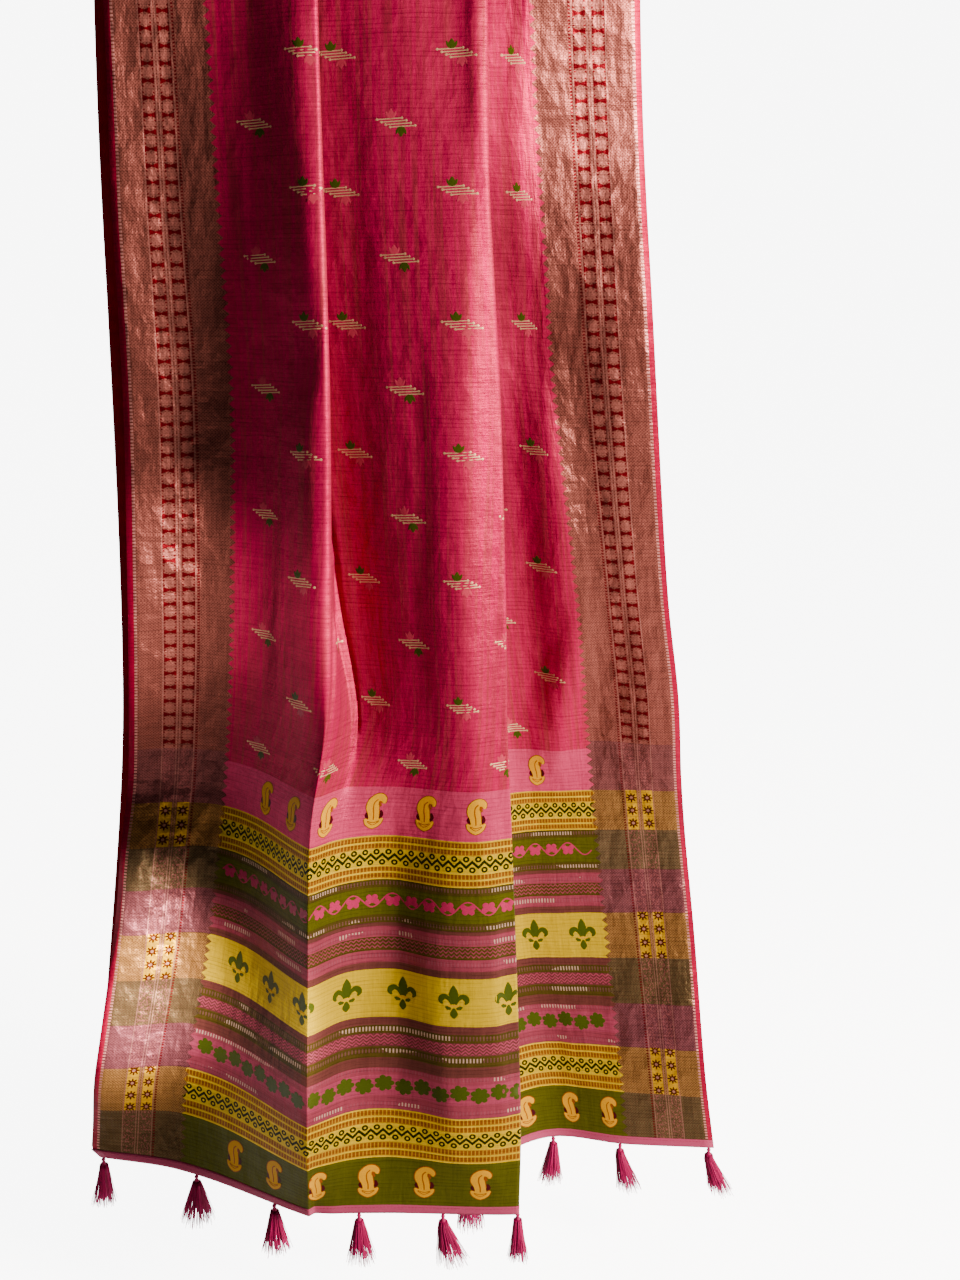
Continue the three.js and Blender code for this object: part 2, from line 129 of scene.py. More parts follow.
# Where each line lies across the flat cloth, from its left selvedge, at the front's drops.
FLAT_U = {
    "edge_left": (0,) * 10,
    "band_left": (128,) * 10,
    "ridge1": (270, 270, 270, 285, 293, 300, 338, 338, 345, 352),
    "under1": (327, 328, 330, 335, 345, 358, 392, 394, 400, 405),
    "ridge2": (577, 577, 580, 588, 606, 615, 626, 626, 626, 626),
    "under2": (769, 767, 765, 762, 760, 757, 755, 755, 755, 755),
    "valley": (962, 955, 950, 940, 925, 910, 895, 890, 888, 885),
    "band_right": (1022,) * 10,
    "edge_right": (1150,) * 10,
}

# Points between one control point of a section and the next, and how much finer this mesh is.
SPAN_STEPS = (3, 5, 2, 2, 3, 2, 2, 3, 3, 2, 2, 2, 4, 2, 2, 4, 2, 3)
FINE = 3
FRONT_ROWS = 190
TURN_ROWS = 14
BACK_ROWS = 90
FOLD_ROWS = 5
HEM_ROWS = 5

# Folds and creases of the front, each from one flat point (u across, v below the rod) to
# another: how wide it is to its left and right, and how far it rises (+) or sinks (-).
CREASES = (
    # u0, v0, u1, v1, left, right, rise
    (72, 120, 74, 1330, 40, 46, -9),
    (24, 180, 20, 460, 10, 12, -3),
    (104, 330, 96, 700, 14, 12, 3.2),
    (36, 900, 44, 1500, 14, 16, -3.5),
    (248, 60, 252, 660, 60, 14, 8),
    (262, 600, 276, 1190, 60, 14, 11),
    (178, 90, 186, 520, 12, 16, -2.4),
    (160, 360, 166, 640, 8, 8, 3.0),
    (205, 700, 214, 1150, 14, 16, 2.6),
    (536, 300, 540, 1230, 90, 30, 7),
    (566, 40, 562, 420, 20, 11, 5),
    (352, 640, 366, 1190, 12, 18, 4),
    (402, 90, 408, 760, 12, 14, -1.6),
    (448, 200, 440, 980, 14, 12, 1.8),
    (486, 560, 478, 1180, 12, 14, -2.4),
    (424, 1180, 428, 1815, 34, 36, -10),
    (528, 1190, 526, 1810, 36, 34, 8),
    (596, 1280, 600, 1780, 14, 10, 3),
    (470, 1300, 466, 1700, 9, 9, -1.6),
    (944, 430, 950, 1230, 14, 75, -10),
    (1040, 880, 920, 1180, 18, 24, -5),
    (1016, 20, 950, 660, 40, 110, 14),
    (1175, 330, 1170, 1400, 200, 40, 40),
    (1100, 520, 1106, 1300, 30, 22, 7),
    (1056, 420, 1050, 1180, 18, 16, -1.5),
    (1010, 600, 968, 1330, 76, 50, 30),
    (1128, 1260, 1118, 1800, 14, 16, 3.5),
    (2, 1230, 10, 1824, 20, 96, 30),
    (940, 1300, 955, 1800, 14, 16, 4),
    (1000, 1250, 1010, 1780, 18, 14, -2),
    (338, 584, 440, 579, 2.4, 2.0, -1.3),
    (436, 578, 574, 580, 2.4, 2.0, -1.6),
    (340, 757, 470, 752, 4, 4, -0.8),
    (352, 925, 560, 940, 5, 5, -0.9),
)


def between(drops, values, at):
    """A smooth value between the rows of a table: a cubic that leaves the first row level."""
    drops = np.asarray(drops, float)
    values = np.asarray(values, float)
    at = np.asarray(at, float)
    slopes = np.empty_like(values)
    slopes[1:-1] = (values[2:] - values[:-2]) / (drops[2:] - drops[:-2])
    slopes[-1] = (values[-1] - values[-2]) / (drops[-1] - drops[-2])
    slopes[0] = 0
    k = np.clip(np.searchsorted(drops, at) - 1, 0, len(drops) - 2)
    span = drops[k + 1] - drops[k]
    t = (at - drops[k]) / span
    rise = t * t * (3 - 2 * t)
    return (values[k] * (1 - rise) + values[k + 1] * rise
            + slopes[k] * span * t * (1 - t) ** 2 - slopes[k + 1] * span * t * t * (1 - t))


def smoothstep(x, low, high):
    t = np.clip((x - low) / (high - low), 0, 1)
    return t * t * (3 - 2 * t)


def section_line(x, y, roll, outward, opened):
    """The cloth's middle line through its named lines, one row for each drop. Each fold gets a soft
    nose as thick as its roll, and the line heads at each point from the one before to the next. Where
    the first pleat has opened (1), its under fold is rounded off towards its neighbours."""
    points = []
    for n, name in enumerate(LINES):
        place = np.stack([x[name], y[name]], axis=-1)
        if name not in FOLDS:
            points.append(place)
            continue
        reach = roll * FOLD_REACH
        half = outward * roll / 2
        previous = np.stack([x[LINES[n - 1]], y[LINES[n - 1]]], axis=-1)
        following = np.stack([x[LINES[n + 1]], y[LINES[n + 1]]], axis=-1)
        before = place + np.stack([np.clip(previous[:, 0] - x[name], -reach, reach), half], axis=-1)
        after = place + np.stack([np.clip(following[:, 0] - x[name], -reach, reach), -half], axis=-1)
        soft = (opened if name == "under1" else 0 * roll)[:, None]
        before = before * (1 - soft) + (place + OPEN_REACH * (previous - place)) * soft
        after = after * (1 - soft) + (place + OPEN_REACH * (following - place)) * soft
        points.append(before)
        points.append(place * (1 - soft) + (before + 2 * place + after) / 4 * soft)
        points.append(after)
    points = np.stack(points, axis=1)
    last = points.shape[1] - 1
    index = np.arange(last + 1)
    heading = points[:, np.minimum(index + 1, last)] - points[:, np.maximum(index - 1, 0)]
    heading /= np.linalg.norm(heading, axis=-1, keepdims=True)
    line = []
    for n, steps in enumerate(SPAN_STEPS):
        chord = np.linalg.norm(points[:, n + 1] - points[:, n], axis=-1, keepdims=True)
        for k in range(steps * FINE):
            t = k / (steps * FINE)
            rise = t * t * (3 - 2 * t)
            line.append(points[:, n] * (1 - rise) + points[:, n + 1] * rise
                        + heading[:, n] * chord * t * (1 - t) ** 2
                        - heading[:, n + 1] * chord * t * t * (1 - t))
    line.append(points[:, last])
    return np.stack(line, axis=1)


def column_of(name):
    """The column of a named line in the fine mesh."""
    spans = 0
    for line in LINES:
        spans += 1 if line in FOLDS else 0
        if line == name:
            return FINE * sum(SPAN_STEPS[:spans])
        spans += 2 if line in FOLDS else 1
    raise KeyError(name)


def front_section(drops):
    x = {name: between(FRONT_DROPS, FRONT_X[name], drops) for name in LINES}
    y = {name: between(FRONT_DROPS, FRONT_DEPTH[name], drops) for name in LINES}
    return section_line(x, y, between(FRONT_DROPS, FRONT_ROLL, drops), -1, smoothstep(drops, *OPEN_DROPS))


def front_rows(drops):
    """Rows of the front in the frame: each section is set at its drop and leant forward."""
    section = front_section(drops)
    behind = section[..., 1] - CENTRE_RADIUS
    down = np.asarray(drops, float)[:, None]
    return np.stack([section[..., 0],
                     behind * math.cos(FRONT_LEAN) - down * math.sin(FRONT_LEAN),
                     -behind * math.sin(FRONT_LEAN) - down * math.cos(FRONT_LEAN)], axis=-1)


def back_base(drops, x):
    """How far behind the rod's axis the back's innermost layer lies."""
    left = between(BACK_DROPS, BACK_BEHIND_LEFT, drops)
    right = between(BACK_DROPS, BACK_BEHIND_RIGHT, drops)
    pitch = between(BACK_DROPS, BACK_PITCH, drops)
    return left + (right - left) * smoothstep(x, -BACK_EDGE, BACK_EDGE) - 2 * pitch


def back_section(drops):
    pitch = between(BACK_DROPS, BACK_PITCH, drops)
    x = {name: between(BACK_DROPS, BACK_X[name], drops) for name in LINES}
    y = {name: back_base(drops, x[name]) + BACK_LAYER[name] * pitch for name in LINES}
    return section_line(x, y, pitch, 1, np.zeros(len(pitch)))


def back_rows(drops):
    section = back_section(drops)
    down = np.broadcast_to(-np.asarray(drops, float)[:, None], section.shape[:2])
    return np.stack([section[..., 0], section[..., 1], down], axis=-1)


def turn_rows(shares):
    """Rows of the turn over the rod, each column at its own layer's radius."""
    front = front_section(np.zeros(1))[0]
    back = back_section(np.zeros(1))[0]
    share = np.asarray(shares, float)[:, None]
    angle = FRONT_LEAN + (math.pi - FRONT_LEAN) * share
    radius = (CENTRE_RADIUS - front[:, 1]) * (1 - share) + back[:, 1] * share
    x = front[:, 0] * (1 - share) + back[:, 0] * share
    return np.stack([x, -radius * np.cos(angle), radius * np.sin(angle)], axis=-1)


def round_corner(rows, drops):
    """The back's left edge rounds inwards just above the bottom fold."""
    t = np.clip((drops - BACK_DROP + CORNER_ROUND) / CORNER_ROUND, 0, 1)[:, None]
    inset = CORNER_INSET * (1 - np.sqrt(1 - t * t))
    edge = rows[:, :1, 0]
    inner = rows[:, SPAN_STEPS[0] * FINE, None, 0]
    share = np.clip((inner - rows[..., 0]) / (inner - edge), 0, 1)
    rows[..., 0] += inset * share
    return rows


def fold_rows(row, angles, side):
    """Rows of the bottom fold, turned under from the lowest row of the back (side 1) or of the inner
    stretch (side -1)."""
    pivot = back_base(np.array([BACK_DROP]), row[:, 0]) - FOLD_RADIUS
    radius = np.abs(row[:, 1] - pivot)
    angle = np.asarray(angles)[:, None]
    x = np.broadcast_to(row[:, 0], (len(angles), len(row)))
    depth = pivot + side * radius * np.cos(angle)
    return np.stack([x, depth, -BACK_DROP - radius * np.sin(angle)], axis=-1)


def flat_across(rows, drops):
    """How far across the flat cloth each point lies: the named lines keep their own places, and the
    length along the section shares out the stretch between two of them."""
    steps = np.linalg.norm(np.diff(rows, axis=1), axis=-1)
    length = np.concatenate([np.zeros((len(rows), 1)), np.cumsum(steps, axis=1)], axis=1)
    names = list(FLAT_U)
    columns = [column_of(name) for name in names]
    u = np.empty(rows.shape[:2])
    for r, drop in enumerate(drops):
        places = [float(between(FRONT_DROPS, FLAT_U[name], drop)) for name in names]
        u[r] = np.interp(length[r], length[r, columns], places)
    return u


def surface_normals(rows):
    down = np.gradient(rows, axis=0)
    across = np.gradient(rows, axis=1)
    normal = np.cross(down, across)
    return normal / np.linalg.norm(normal, axis=-1, keepdims=True)


def crease_rise(u, v):
    """The rise of all the creases at each flat point. Each is a soft ridge or trough, uneven in width
    and line, that dies away at its ends."""
    rise = np.zeros_like(u)
    for n, (u0, v0, u1, v1, left, right, height) in enumerate(CREASES):
        length = math.hypot(u1 - u0, v1 - v0)
        along = ((u - u0) * (u1 - u0) + (v - v0) * (v1 - v0)) / length
        aside = ((u - u0) * (v1 - v0) - (v - v0) * (u1 - u0)) / length
        aside = aside + 0.3 * min(left, right) * np.sin(along / (0.11 * length) + n)
        breadth = np.where(aside < 0, left, right) * (1 + 0.2 * np.sin(along / (0.17 * length) + 2 * n))
        end = 0.25 * length
        fade = smoothstep(along, 0, end) * (1 - smoothstep(along, length - end, length))
        rise += height * fade * np.exp(-(aside / breadth) ** 2)
    return rise


def to_linear(hexadecimal):
    """A linear colour from an sRGB hex value."""
    values = [int(hexadecimal[n:n + 2], 16) / 255 for n in (1, 3, 5)]
    return tuple(c / 12.92 if c <= 0.04045 else ((c + 0.055) / 1.055) ** 2.4 for c in values) + (1.0,)


def add_node(tree, kind, **settings):
    """A node with its own settings, ready for its sockets to be set or linked."""
    node = tree.nodes.new(kind)
    for name, value in settings.items():
        setattr(node, name, value)
    return node


def feed(tree, socket, value):
    """Links a socket to another's output, or sets its own value. Text is a colour's hex value."""
    if isinstance(value, bpy.types.NodeSocket):
        tree.links.new(value, socket)
    else:
        socket.default_value = to_linear(value) if isinstance(value, str) else value


def feed_all(tree, node, sockets):
    """Links or sets several of a node's sockets by their names."""
    for name, value in sockets.items():
        feed(tree, node.inputs[name], value)


class Pattern:
    """Draws a woven pattern from sums of the flat cloth's own millimetres in one material's tree."""

    def __init__(self, tree):
        self.tree = tree

    def sum(self, operation, *values):
        node = add_node(self.tree, "ShaderNodeMath", operation=operation)
        for socket, value in zip(node.inputs, values):
            feed(self.tree, socket, value)
        return node.outputs[0]

    def times(self, *values):
        return self.sum("MULTIPLY", *values)

    def plus(self, *values):
        return self.sum("ADD", *values)

    def minus(self, *values):
        return self.sum("SUBTRACT", *values)

    def above(self, *values):
        return self.sum("GREATER_THAN", *values)

    def below(self, *values):
        return self.sum("LESS_THAN", *values)

    def larger(self, *values):
        return self.sum("MAXIMUM", *values)

    def smaller(self, *values):
        return self.sum("MINIMUM", *values)

    def absolute(self, *values):
        return self.sum("ABSOLUTE", *values)

    def inside(self, value, low, high):
        return self.times(self.above(value, low), self.below(value, high))

    def both(self, *masks):
        result = masks[0]
        for mask in masks[1:]:
            result = self.times(result, mask)
        return result

    def either(self, *masks):
        result = masks[0]
        for mask in masks[1:]:
            result = self.larger(result, mask)
        return result

    def stripes(self, value, pitch, share):
        """1 on stripes that take this share of each pitch."""
        place = self.sum("FRACT", self.sum("DIVIDE", value, pitch))
        return self.below(place, share)

    def fold(self, value, pitch, shift=0.0):
        """The distance to the nearest of marks one pitch apart."""
        moved = self.plus(value, shift)
        return self.sum("PINGPONG", moved, pitch / 2)

    def line(self, value, centre, half):
        return self.below(self.absolute(self.minus(value, centre)), half)

    def distance(self, aside, along):
        return self.sum("SQRT", self.plus(self.times(aside, aside), self.times(along, along)))

    def ring(self, aside, along, radius, half):
        return self.line(self.distance(aside, along), radius, half)

    def mix(self, share, first, second):
        node = add_node(self.tree, "ShaderNodeMix", data_type="RGBA")
        feed(self.tree, node.inputs[0], share)
        feed(self.tree, node.inputs[6], first)
        feed(self.tree, node.inputs[7], second)
        return node.outputs[2]

    def blend(self, share, first, second):
        node = add_node(self.tree, "ShaderNodeMix", data_type="FLOAT")
        feed(self.tree, node.inputs[0], share)
        feed(self.tree, node.inputs[2], first)
        feed(self.tree, node.inputs[3], second)
        return node.outputs[0]

    def bands(self, value, low, high, stops):
        """Plain bands of colour: each stop is where its band starts, and its colour."""
        node = add_node(self.tree, "ShaderNodeValToRGB")
        ramp = node.color_ramp
        ramp.interpolation = "CONSTANT"
        place = self.sum("DIVIDE", self.minus(value, low), high - low)
        self.tree.links.new(place, node.inputs[0])
        while len(ramp.elements) > 1:
            ramp.elements.remove(ramp.elements[-1])
        ramp.elements[0].position = 0
        ramp.elements[0].color = to_linear(stops[0][1])
        for start, colour in stops[1:]:
            element = ramp.elements.new((start - low) / (high - low))
            element.color = to_linear(colour)
        return node.outputs[0]

    def noise(self, vector, scale, detail=2.0):
        node = add_node(self.tree, "ShaderNodeTexNoise")
        feed_all(self.tree, node, {"Vector": vector, "Scale": scale, "Detail": detail})
        return node.outputs["Fac"]

    def stretched(self, u, v, across, along):
        """A texture vector with its own scale across and along the cloth."""
        node = add_node(self.tree, "ShaderNodeCombineXYZ")
        feed(self.tree, node.inputs[0], self.times(u, across))
        feed(self.tree, node.inputs[1], self.times(v, along))
        return node.outputs[0]

    def streaks(self, u, v, across, along, detail=2.0):
        """Noise with its own scale across and along the cloth."""
        return self.noise(self.stretched(u, v, across, along), 1.0, detail)


def new_material(name):
    material = bpy.data.materials.new(name)
    material.use_nodes = True
    tree = material.node_tree
    return material, tree, tree.nodes["Principled BSDF"]


def flat_place(pattern):
    """The flat cloth's own millimetres: u across from the left selvedge, v below the rod."""
    tree = pattern.tree
    uv = add_node(tree, "ShaderNodeUVMap", uv_map="flat")
    split = add_node(tree, "ShaderNodeSeparateXYZ")
    tree.links.new(uv.outputs[0], split.inputs[0])
    return [pattern.times(split.outputs[n], 1 / MM) for n in range(2)]


# Colours of the weave, as hex values, and how deep the dyes are: the key light is strong.
DYE_DEPTH = 0.5
YELLOW_DEPTH = 0.42
CRIMSON = "#CA0C56"
WARP_BROWN = "#885230"
PINK = "#DC4070"
YELLOW = "#EEC800"
YELLOW_LINE = "#FFD410"
AMBER = "#DCA818"
LADDER = "#9C5C18"
OLIVE = "#58580E"
OLIVE_BROWN = "#524418"
DARK_GREEN = "#242C04"
MAUVE = "#9C4054"
MAUVE_DARK = "#6C3A36"
ROSE = "#AC4460"
MAGENTA = "#B0003C"
COPPER = "#9C5850"
COPPER_DARK = "#5A2420"
HOURGLASS = "#6A0816"

# Where the figured end starts below the rod: in the border, and each weft band of the field.
BORDER_END_START = 1190
BAND_STARTS = {"pink": 1203, "yellow1": 1271, "olive1": 1335, "mauve1": 1397, "fleur": 1464,
               "olive2": 1535, "mauve2": 1605, "yellow3": 1672, "olive3": 1744, "end": 1815}
YELLOW1_CENTRE = (BAND_STARTS["yellow1"] + BAND_STARTS["olive1"]) / 2
YELLOW3_CENTRE = (BAND_STARTS["yellow3"] + BAND_STARTS["olive3"]) / 2

# The zigzag with rings: the rings' distance from its middle, their radius and half their line.
ZIGZAG_PITCH = 15.4
RING_PLACE = 7.4
RING_SIZE = (2.9, 1.3)

# Rows of fine zigzags: the middle of each and half its height, the width of one zigzag, and the
# pitch, share and colour of its lines.
FINE_ZIGZAGS = (
    (BAND_STARTS["mauve1"] + 30.5, 8.0, 7.0, 5.5, 0.4, MAUVE),
    (BAND_STARTS["olive2"] + 33.5, 8.5, 9.0, 5.0, 0.5, ROSE),
)

# The border across, from the selvedge: its two figured columns, and the teeth of its inner edge.
SELVEDGE = 7.0
COLUMN_PLACES = (49.0, 71.0)
COLUMN_HALF = 7.4
LENGTHWISE_PLACES = (40.5, 58.0, 61.5, 79.5)
CHEVRON_PITCH = 46.0
LATTICE_PITCH = 4.0
HOURGLASS_PITCH = 20.7
BORDER_WIDTH = 129.5
TOOTH_PITCH = 13.8


def band_stops(names, inner):
    """The start and colour of each weft band, with the finer lines inside it."""
    return [(BAND_STARTS[name] + start, colour) for name in names for start, colour in inner[name]]


# In the two banded yellow ones: the pitch of the bright lines, and where the lower three start.
YELLOW1_LINES = (9.5, 43)
YELLOW3_LINES = (11, 48)

# Rows where fine figures lie: ladder grids (red) and short dashes (green), black between them.
LADDER_ROW = "#FF0000"
DASH_ROW = "#00FF00"
EMPTY_ROW = "#000000"


def yellow_bands(pitch, lower_start):
    """A yellow band's stops: two ladders between three bright lines above its middle, and the same
    below it."""
    stops = []
    for first, after in ((0, YELLOW), (lower_start, None)):
        for start, ground in ((first, AMBER), (first + pitch, AMBER), (first + 2 * pitch, after)):
            stops.append((start, YELLOW_LINE))
            if ground:
                stops.append((start + 2, ground))
    return stops


def ladder_rows(pitch, lower_start):
    """The ladders of the same band, half a millimetre clear of its bright lines."""
    rows = [(0, EMPTY_ROW)]
    for start in (0, pitch, lower_start, lower_start + pitch):
        rows += [(start + 2.5, LADDER_ROW), (start + pitch - 0.5, EMPTY_ROW)]
    return rows


def dash_rows(*starts):
    rows = [(0, EMPTY_ROW)]
    for start, length in starts:
        rows += [(start, DASH_ROW), (start + length, EMPTY_ROW)]
    return rows


# The plain weft bands of the field and the lines inside each, from that band's start.
FIELD_BANDS = {
    "pink": [(0, PINK)],
    "yellow1": yellow_bands(*YELLOW1_LINES),
    "olive1": [(0, OLIVE_BROWN), (11, OLIVE), (50, OLIVE_BROWN)],
    "mauve1": [(0, MAUVE_DARK), (5, MAUVE), (21, OLIVE_BROWN), (40, MAUVE), (57, MAUVE_DARK)],
    "fleur": [(0, YELLOW)],
    "olive2": [(0, MAUVE_DARK), (11, OLIVE_BROWN), (24, MAUVE_DARK), (43, OLIVE_BROWN), (60, MAUVE_DARK)],
    "mauve2": [(0, MAUVE_DARK), (5, MAUVE), (16, ROSE), (47, MAUVE)],
    "yellow3": yellow_bands(*YELLOW3_LINES),
    "olive3": [(0, OLIVE)],
}
FIGURE_ROWS = {
    "pink": dash_rows(),
    "yellow1": ladder_rows(*YELLOW1_LINES),
    "olive1": dash_rows((2, 5), (54, 5)),
    "mauve1": dash_rows((12, 6), (44, 6)),
    "fleur": dash_rows(),
    "olive2": dash_rows((14, 6), (47, 6)),
    "mauve2": dash_rows((6, 6), (56, 6)),
    "yellow3": ladder_rows(*YELLOW3_LINES),
    "olive3": dash_rows(),
}
UPPER_BANDS = ("pink", "yellow1", "olive1", "mauve1", "fleur")
LOWER_BANDS = ("olive2", "mauve2", "yellow3", "olive3")
# Each yellow band, and the one after it.
YELLOW_BANDS = {"yellow1": "olive1", "fleur": "olive2", "yellow3": "olive3"}
# The border's ground in each weft band.
BORDER_GROUND = {"pink": "#8A5052", "yellow1": "#AC7C44", "olive1": "#6A5A40", "mauve1": "#844C54",
                 "fleur": "#AC7C44", "olive2": "#66563A", "mauve2": "#864C56", "yellow3": "#AC7C44",
                 "olive3": "#66563A"}


def silk_face():
    """The saree's face: crimson tissue silk with woven gold borders and a banded end."""
    material, tree, shader = new_material("crimson tissue silk with gold borders")
    p = Pattern(tree)
    u, v = flat_place(p)
    side = p.smaller(u, p.minus(CLOTH_WIDTH, u))
    in_end = p.above(v, BAND_STARTS["pink"])
    in_border_end = p.above(v, BORDER_END_START)

    def end_bands(inner):
        """The figured end's bands. Two ramps share them, because one can't hold them all."""
        starts = [BAND_STARTS[name] for name in ("pink", "olive2", "end")]
        upper = p.bands(v, starts[0], starts[1], band_stops(UPPER_BANDS, inner))
        under = p.bands(v, starts[1], starts[2], band_stops(LOWER_BANDS, inner))
        return p.mix(p.above(v, starts[1]), upper, under)

    # The field: crimson, then the weft bands of the figured end.
    # Brown warp threads show between the crimson ones in uneven streaks.
    shot = p.streaks(u, v, 0.2, 0.003, 3.0)
    warm = p.times(p.larger(p.minus(shot, 0.42), 0.0), 1.5)
    body = p.mix(warm, CRIMSON, WARP_BROWN)
    field = p.mix(in_end, body, end_bands(FIELD_BANDS))
    rows = add_node(tree, "ShaderNodeSeparateColor")
    tree.links.new(end_bands(FIGURE_ROWS), rows.inputs[0])

    # Ladder grids: amber blocks one after another, each crossed by a thin bright line.
    ladder = p.both(rows.outputs[0], in_end, p.stripes(u, 4.8, 0.74))
    field = p.mix(ladder, field, LADDER)
    # Short dashes of pale metal thread with a painted glint: in random patches they are painted paler and
    # stronger, as if they caught the light.
    patches = p.streaks(u, v, 0.012, 0.012)
    painted_glint = p.above(patches, 0.54)
    dashes = p.both(rows.outputs[1], in_end, p.stripes(u, 4.3, 0.45))
    # Painted glint colour: dull mauve outside the patches, pale cream inside them.
    pale = p.mix(painted_glint, "#9C5A6A", "#E4BCA8")
    field = p.mix(p.times(dashes, p.blend(painted_glint, 0.35, 0.75)), field, pale)
    # The two yellow bands' middle: a green zigzag with a ring in each of its corners.
    centre = p.blend(p.above(v, BAND_STARTS["olive2"]), YELLOW1_CENTRE, YELLOW3_CENTRE)
    local = p.minus(v, centre)
    zigzag = p.line(local, p.minus(p.fold(u, ZIGZAG_PITCH), ZIGZAG_PITCH / 4), 2.4)
    above = p.ring(p.fold(u, ZIGZAG_PITCH, ZIGZAG_PITCH / 2), p.plus(local, RING_PLACE), *RING_SIZE)
    below = p.ring(p.fold(u, ZIGZAG_PITCH), p.minus(local, RING_PLACE), *RING_SIZE)
    near = p.below(p.absolute(local), 12.0)
    field = p.mix(p.both(near, p.either(zigzag, above, below)), field, DARK_GREEN)
    # Rows of fine zigzags: mauve ones in the first mauve band, and rose ones in the second olive band.
    for middle, half, width, pitch, share, thread in FINE_ZIGZAGS:
        local = p.minus(v, middle)
        zigzags = p.stripes(p.plus(local, p.fold(u, width)), pitch, share)
        field = p.mix(p.both(p.below(p.absolute(local), half), zigzags), field, thread)
    # Uneven warp and weft threads show as faint streaks.
    warp = p.streaks(u, v, 0.35, 0.004, 3.0)
    weft = p.streaks(u, v, 0.01, 0.3, 3.0)
    streak = p.plus(p.times(warp, 0.4), p.times(weft, 0.55))
    # Thicker weft threads are fine dark ribs across the field, broken here and there.
    wander = p.streaks(u, v, 0.012, 0.02, 1.0)
    rib = p.stripes(p.plus(v, p.times(wander, 6.0)), 5.6, 0.24)
    broken = p.above(p.streaks(u, v, 0.03, 0.35, 2.0), 0.45)
    streak = p.minus(streak, p.times(p.both(rib, broken), 0.24))

    # The border: gold over the weft's colour, with two figured columns.
    grounds = {name: [(0, ground)] for name, ground in BORDER_GROUND.items()}
    ground = p.mix(in_border_end, COPPER, end_bands(grounds))
    twill = p.stripes(p.plus(p.fold(v, CHEVRON_PITCH), side), LATTICE_PITCH, 0.45)
    cross = p.stripes(p.minus(p.fold(v, CHEVRON_PITCH), side), LATTICE_PITCH, 0.62)
    lattice = p.both(twill, cross)
    border = p.mix(p.times(lattice, 0.75), ground, COPPER_DARK)
    # Thin lengthwise lines beside the columns.
    lengthwise = p.either(*[p.line(side, place, 0.7) for place in LENGTHWISE_PLACES])
    border = p.mix(p.times(lengthwise, 0.35), border, "#D88C84")
    dotted = p.both(p.line(side, 82.5, 1.4), p.stripes(v, 4.2, 0.5))
    border = p.mix(dotted, border, HOURGLASS)
    # The columns: dark hourglasses between gold flower squares, and flowers on yellow in the end.
    first, second = [p.minus(side, place) for place in COLUMN_PLACES]
    in_first, in_second = [p.line(side, place, COLUMN_HALF) for place in COLUMN_PLACES]
    aside = p.absolute(p.blend(in_second, first, second))
    columns = p.either(in_first, in_second)
    step = p.fold(v, HOURGLASS_PITCH)
    waist = p.plus(1.2, p.times(aside, 0.38))
    hourglass = p.both(columns, p.below(step, waist))
    radius = p.distance(aside, step)
    turn = p.times(p.sum("ARCTAN2", step, aside), 8.0)
    petal = p.plus(6.0, p.times(p.sum("COSINE", turn), 1.9))
    flower = p.both(columns, p.below(radius, petal))
    heart = p.both(columns, p.below(radius, 2.2))
    corner = p.both(p.above(aside, 5.2), p.inside(step, 5.6, 7.4))
    square = p.both(p.below(aside, 5.6), p.above(step, 4.6))
    body_column = p.mix(p.times(square, 0.45), border, "#C07068")
    body_column = p.mix(p.either(hourglass, corner), body_column, HOURGLASS)
    in_yellow = p.either(*[p.inside(v, BAND_STARTS[name], BAND_STARTS[following])
                           for name, following in YELLOW_BANDS.items()])
    yellow_column = p.mix(flower, "#ECB410", "#5A2808")
    yellow_column = p.mix(heart, yellow_column, "#C08470")
    speckle = p.streaks(u, v, 0.5, 0.28, 1.0)
    speckled = p.both(columns, p.above(speckle, 0.55))
    plain_column = p.mix(p.times(speckled, 0.5), border, "#B86468")
    end_column = p.mix(in_yellow, plain_column, yellow_column)
    border = p.mix(columns, border, p.mix(in_border_end, body_column, end_column))
    # The inner edge of the border is a row of pointed teeth.
    tooth = p.minus(BORDER_WIDTH, p.times(p.fold(v, TOOTH_PITCH), 1.2))
    in_border = p.below(side, tooth)
    colour = p.mix(in_border, field, border)
    # The selvedge, with a dotted gold edging beside it.
    edging = p.both(p.inside(side, SELVEDGE, SELVEDGE + 3.5), p.stripes(v, 4.6, 0.55))
    colour = p.mix(edging, colour, "#E0908C")
    selvedge = p.below(side, SELVEDGE)
    colour = p.mix(selvedge, colour, MAGENTA)

    shade = add_node(tree, "ShaderNodeHueSaturation")
    depth = p.blend(in_yellow, DYE_DEPTH, YELLOW_DEPTH)
    feed_all(tree, shade, {"Color": colour, "Value": p.times(p.plus(streak, 0.55), depth)})
    gold = p.both(in_border, p.above(side, SELVEDGE))
    grain = add_node(tree, "ShaderNodeTangent", direction_type="UV_MAP", uv_map="flat")
    feed_all(tree, shader, {
        "Base Color": shade.outputs[0], "Sheen Tint": shade.outputs[0], "Specular Tint": shade.outputs[0],
        "Metallic": p.blend(gold, 0.35, 0.6), "Roughness": p.blend(gold, 0.42, 0.38),
        "Specular IOR Level": 0.2, "Sheen Weight": 0.06, "Sheen Roughness": 0.35, "Anisotropic": 0.75,
        "Tangent": grain.outputs[0]})
    # Slubs in the weft and crinkles in the warp catch the light.
    slub = p.streaks(u, v, 0.05, 1.1, 3.0)
    crinkle = p.streaks(u, v, 0.22, 0.05, 2.0)
    bump = add_node(tree, "ShaderNodeBump")
    feed_all(tree, bump, {"Strength": 0.55, "Distance": 0.5 * MM, "Height": p.plus(slub, crinkle)})
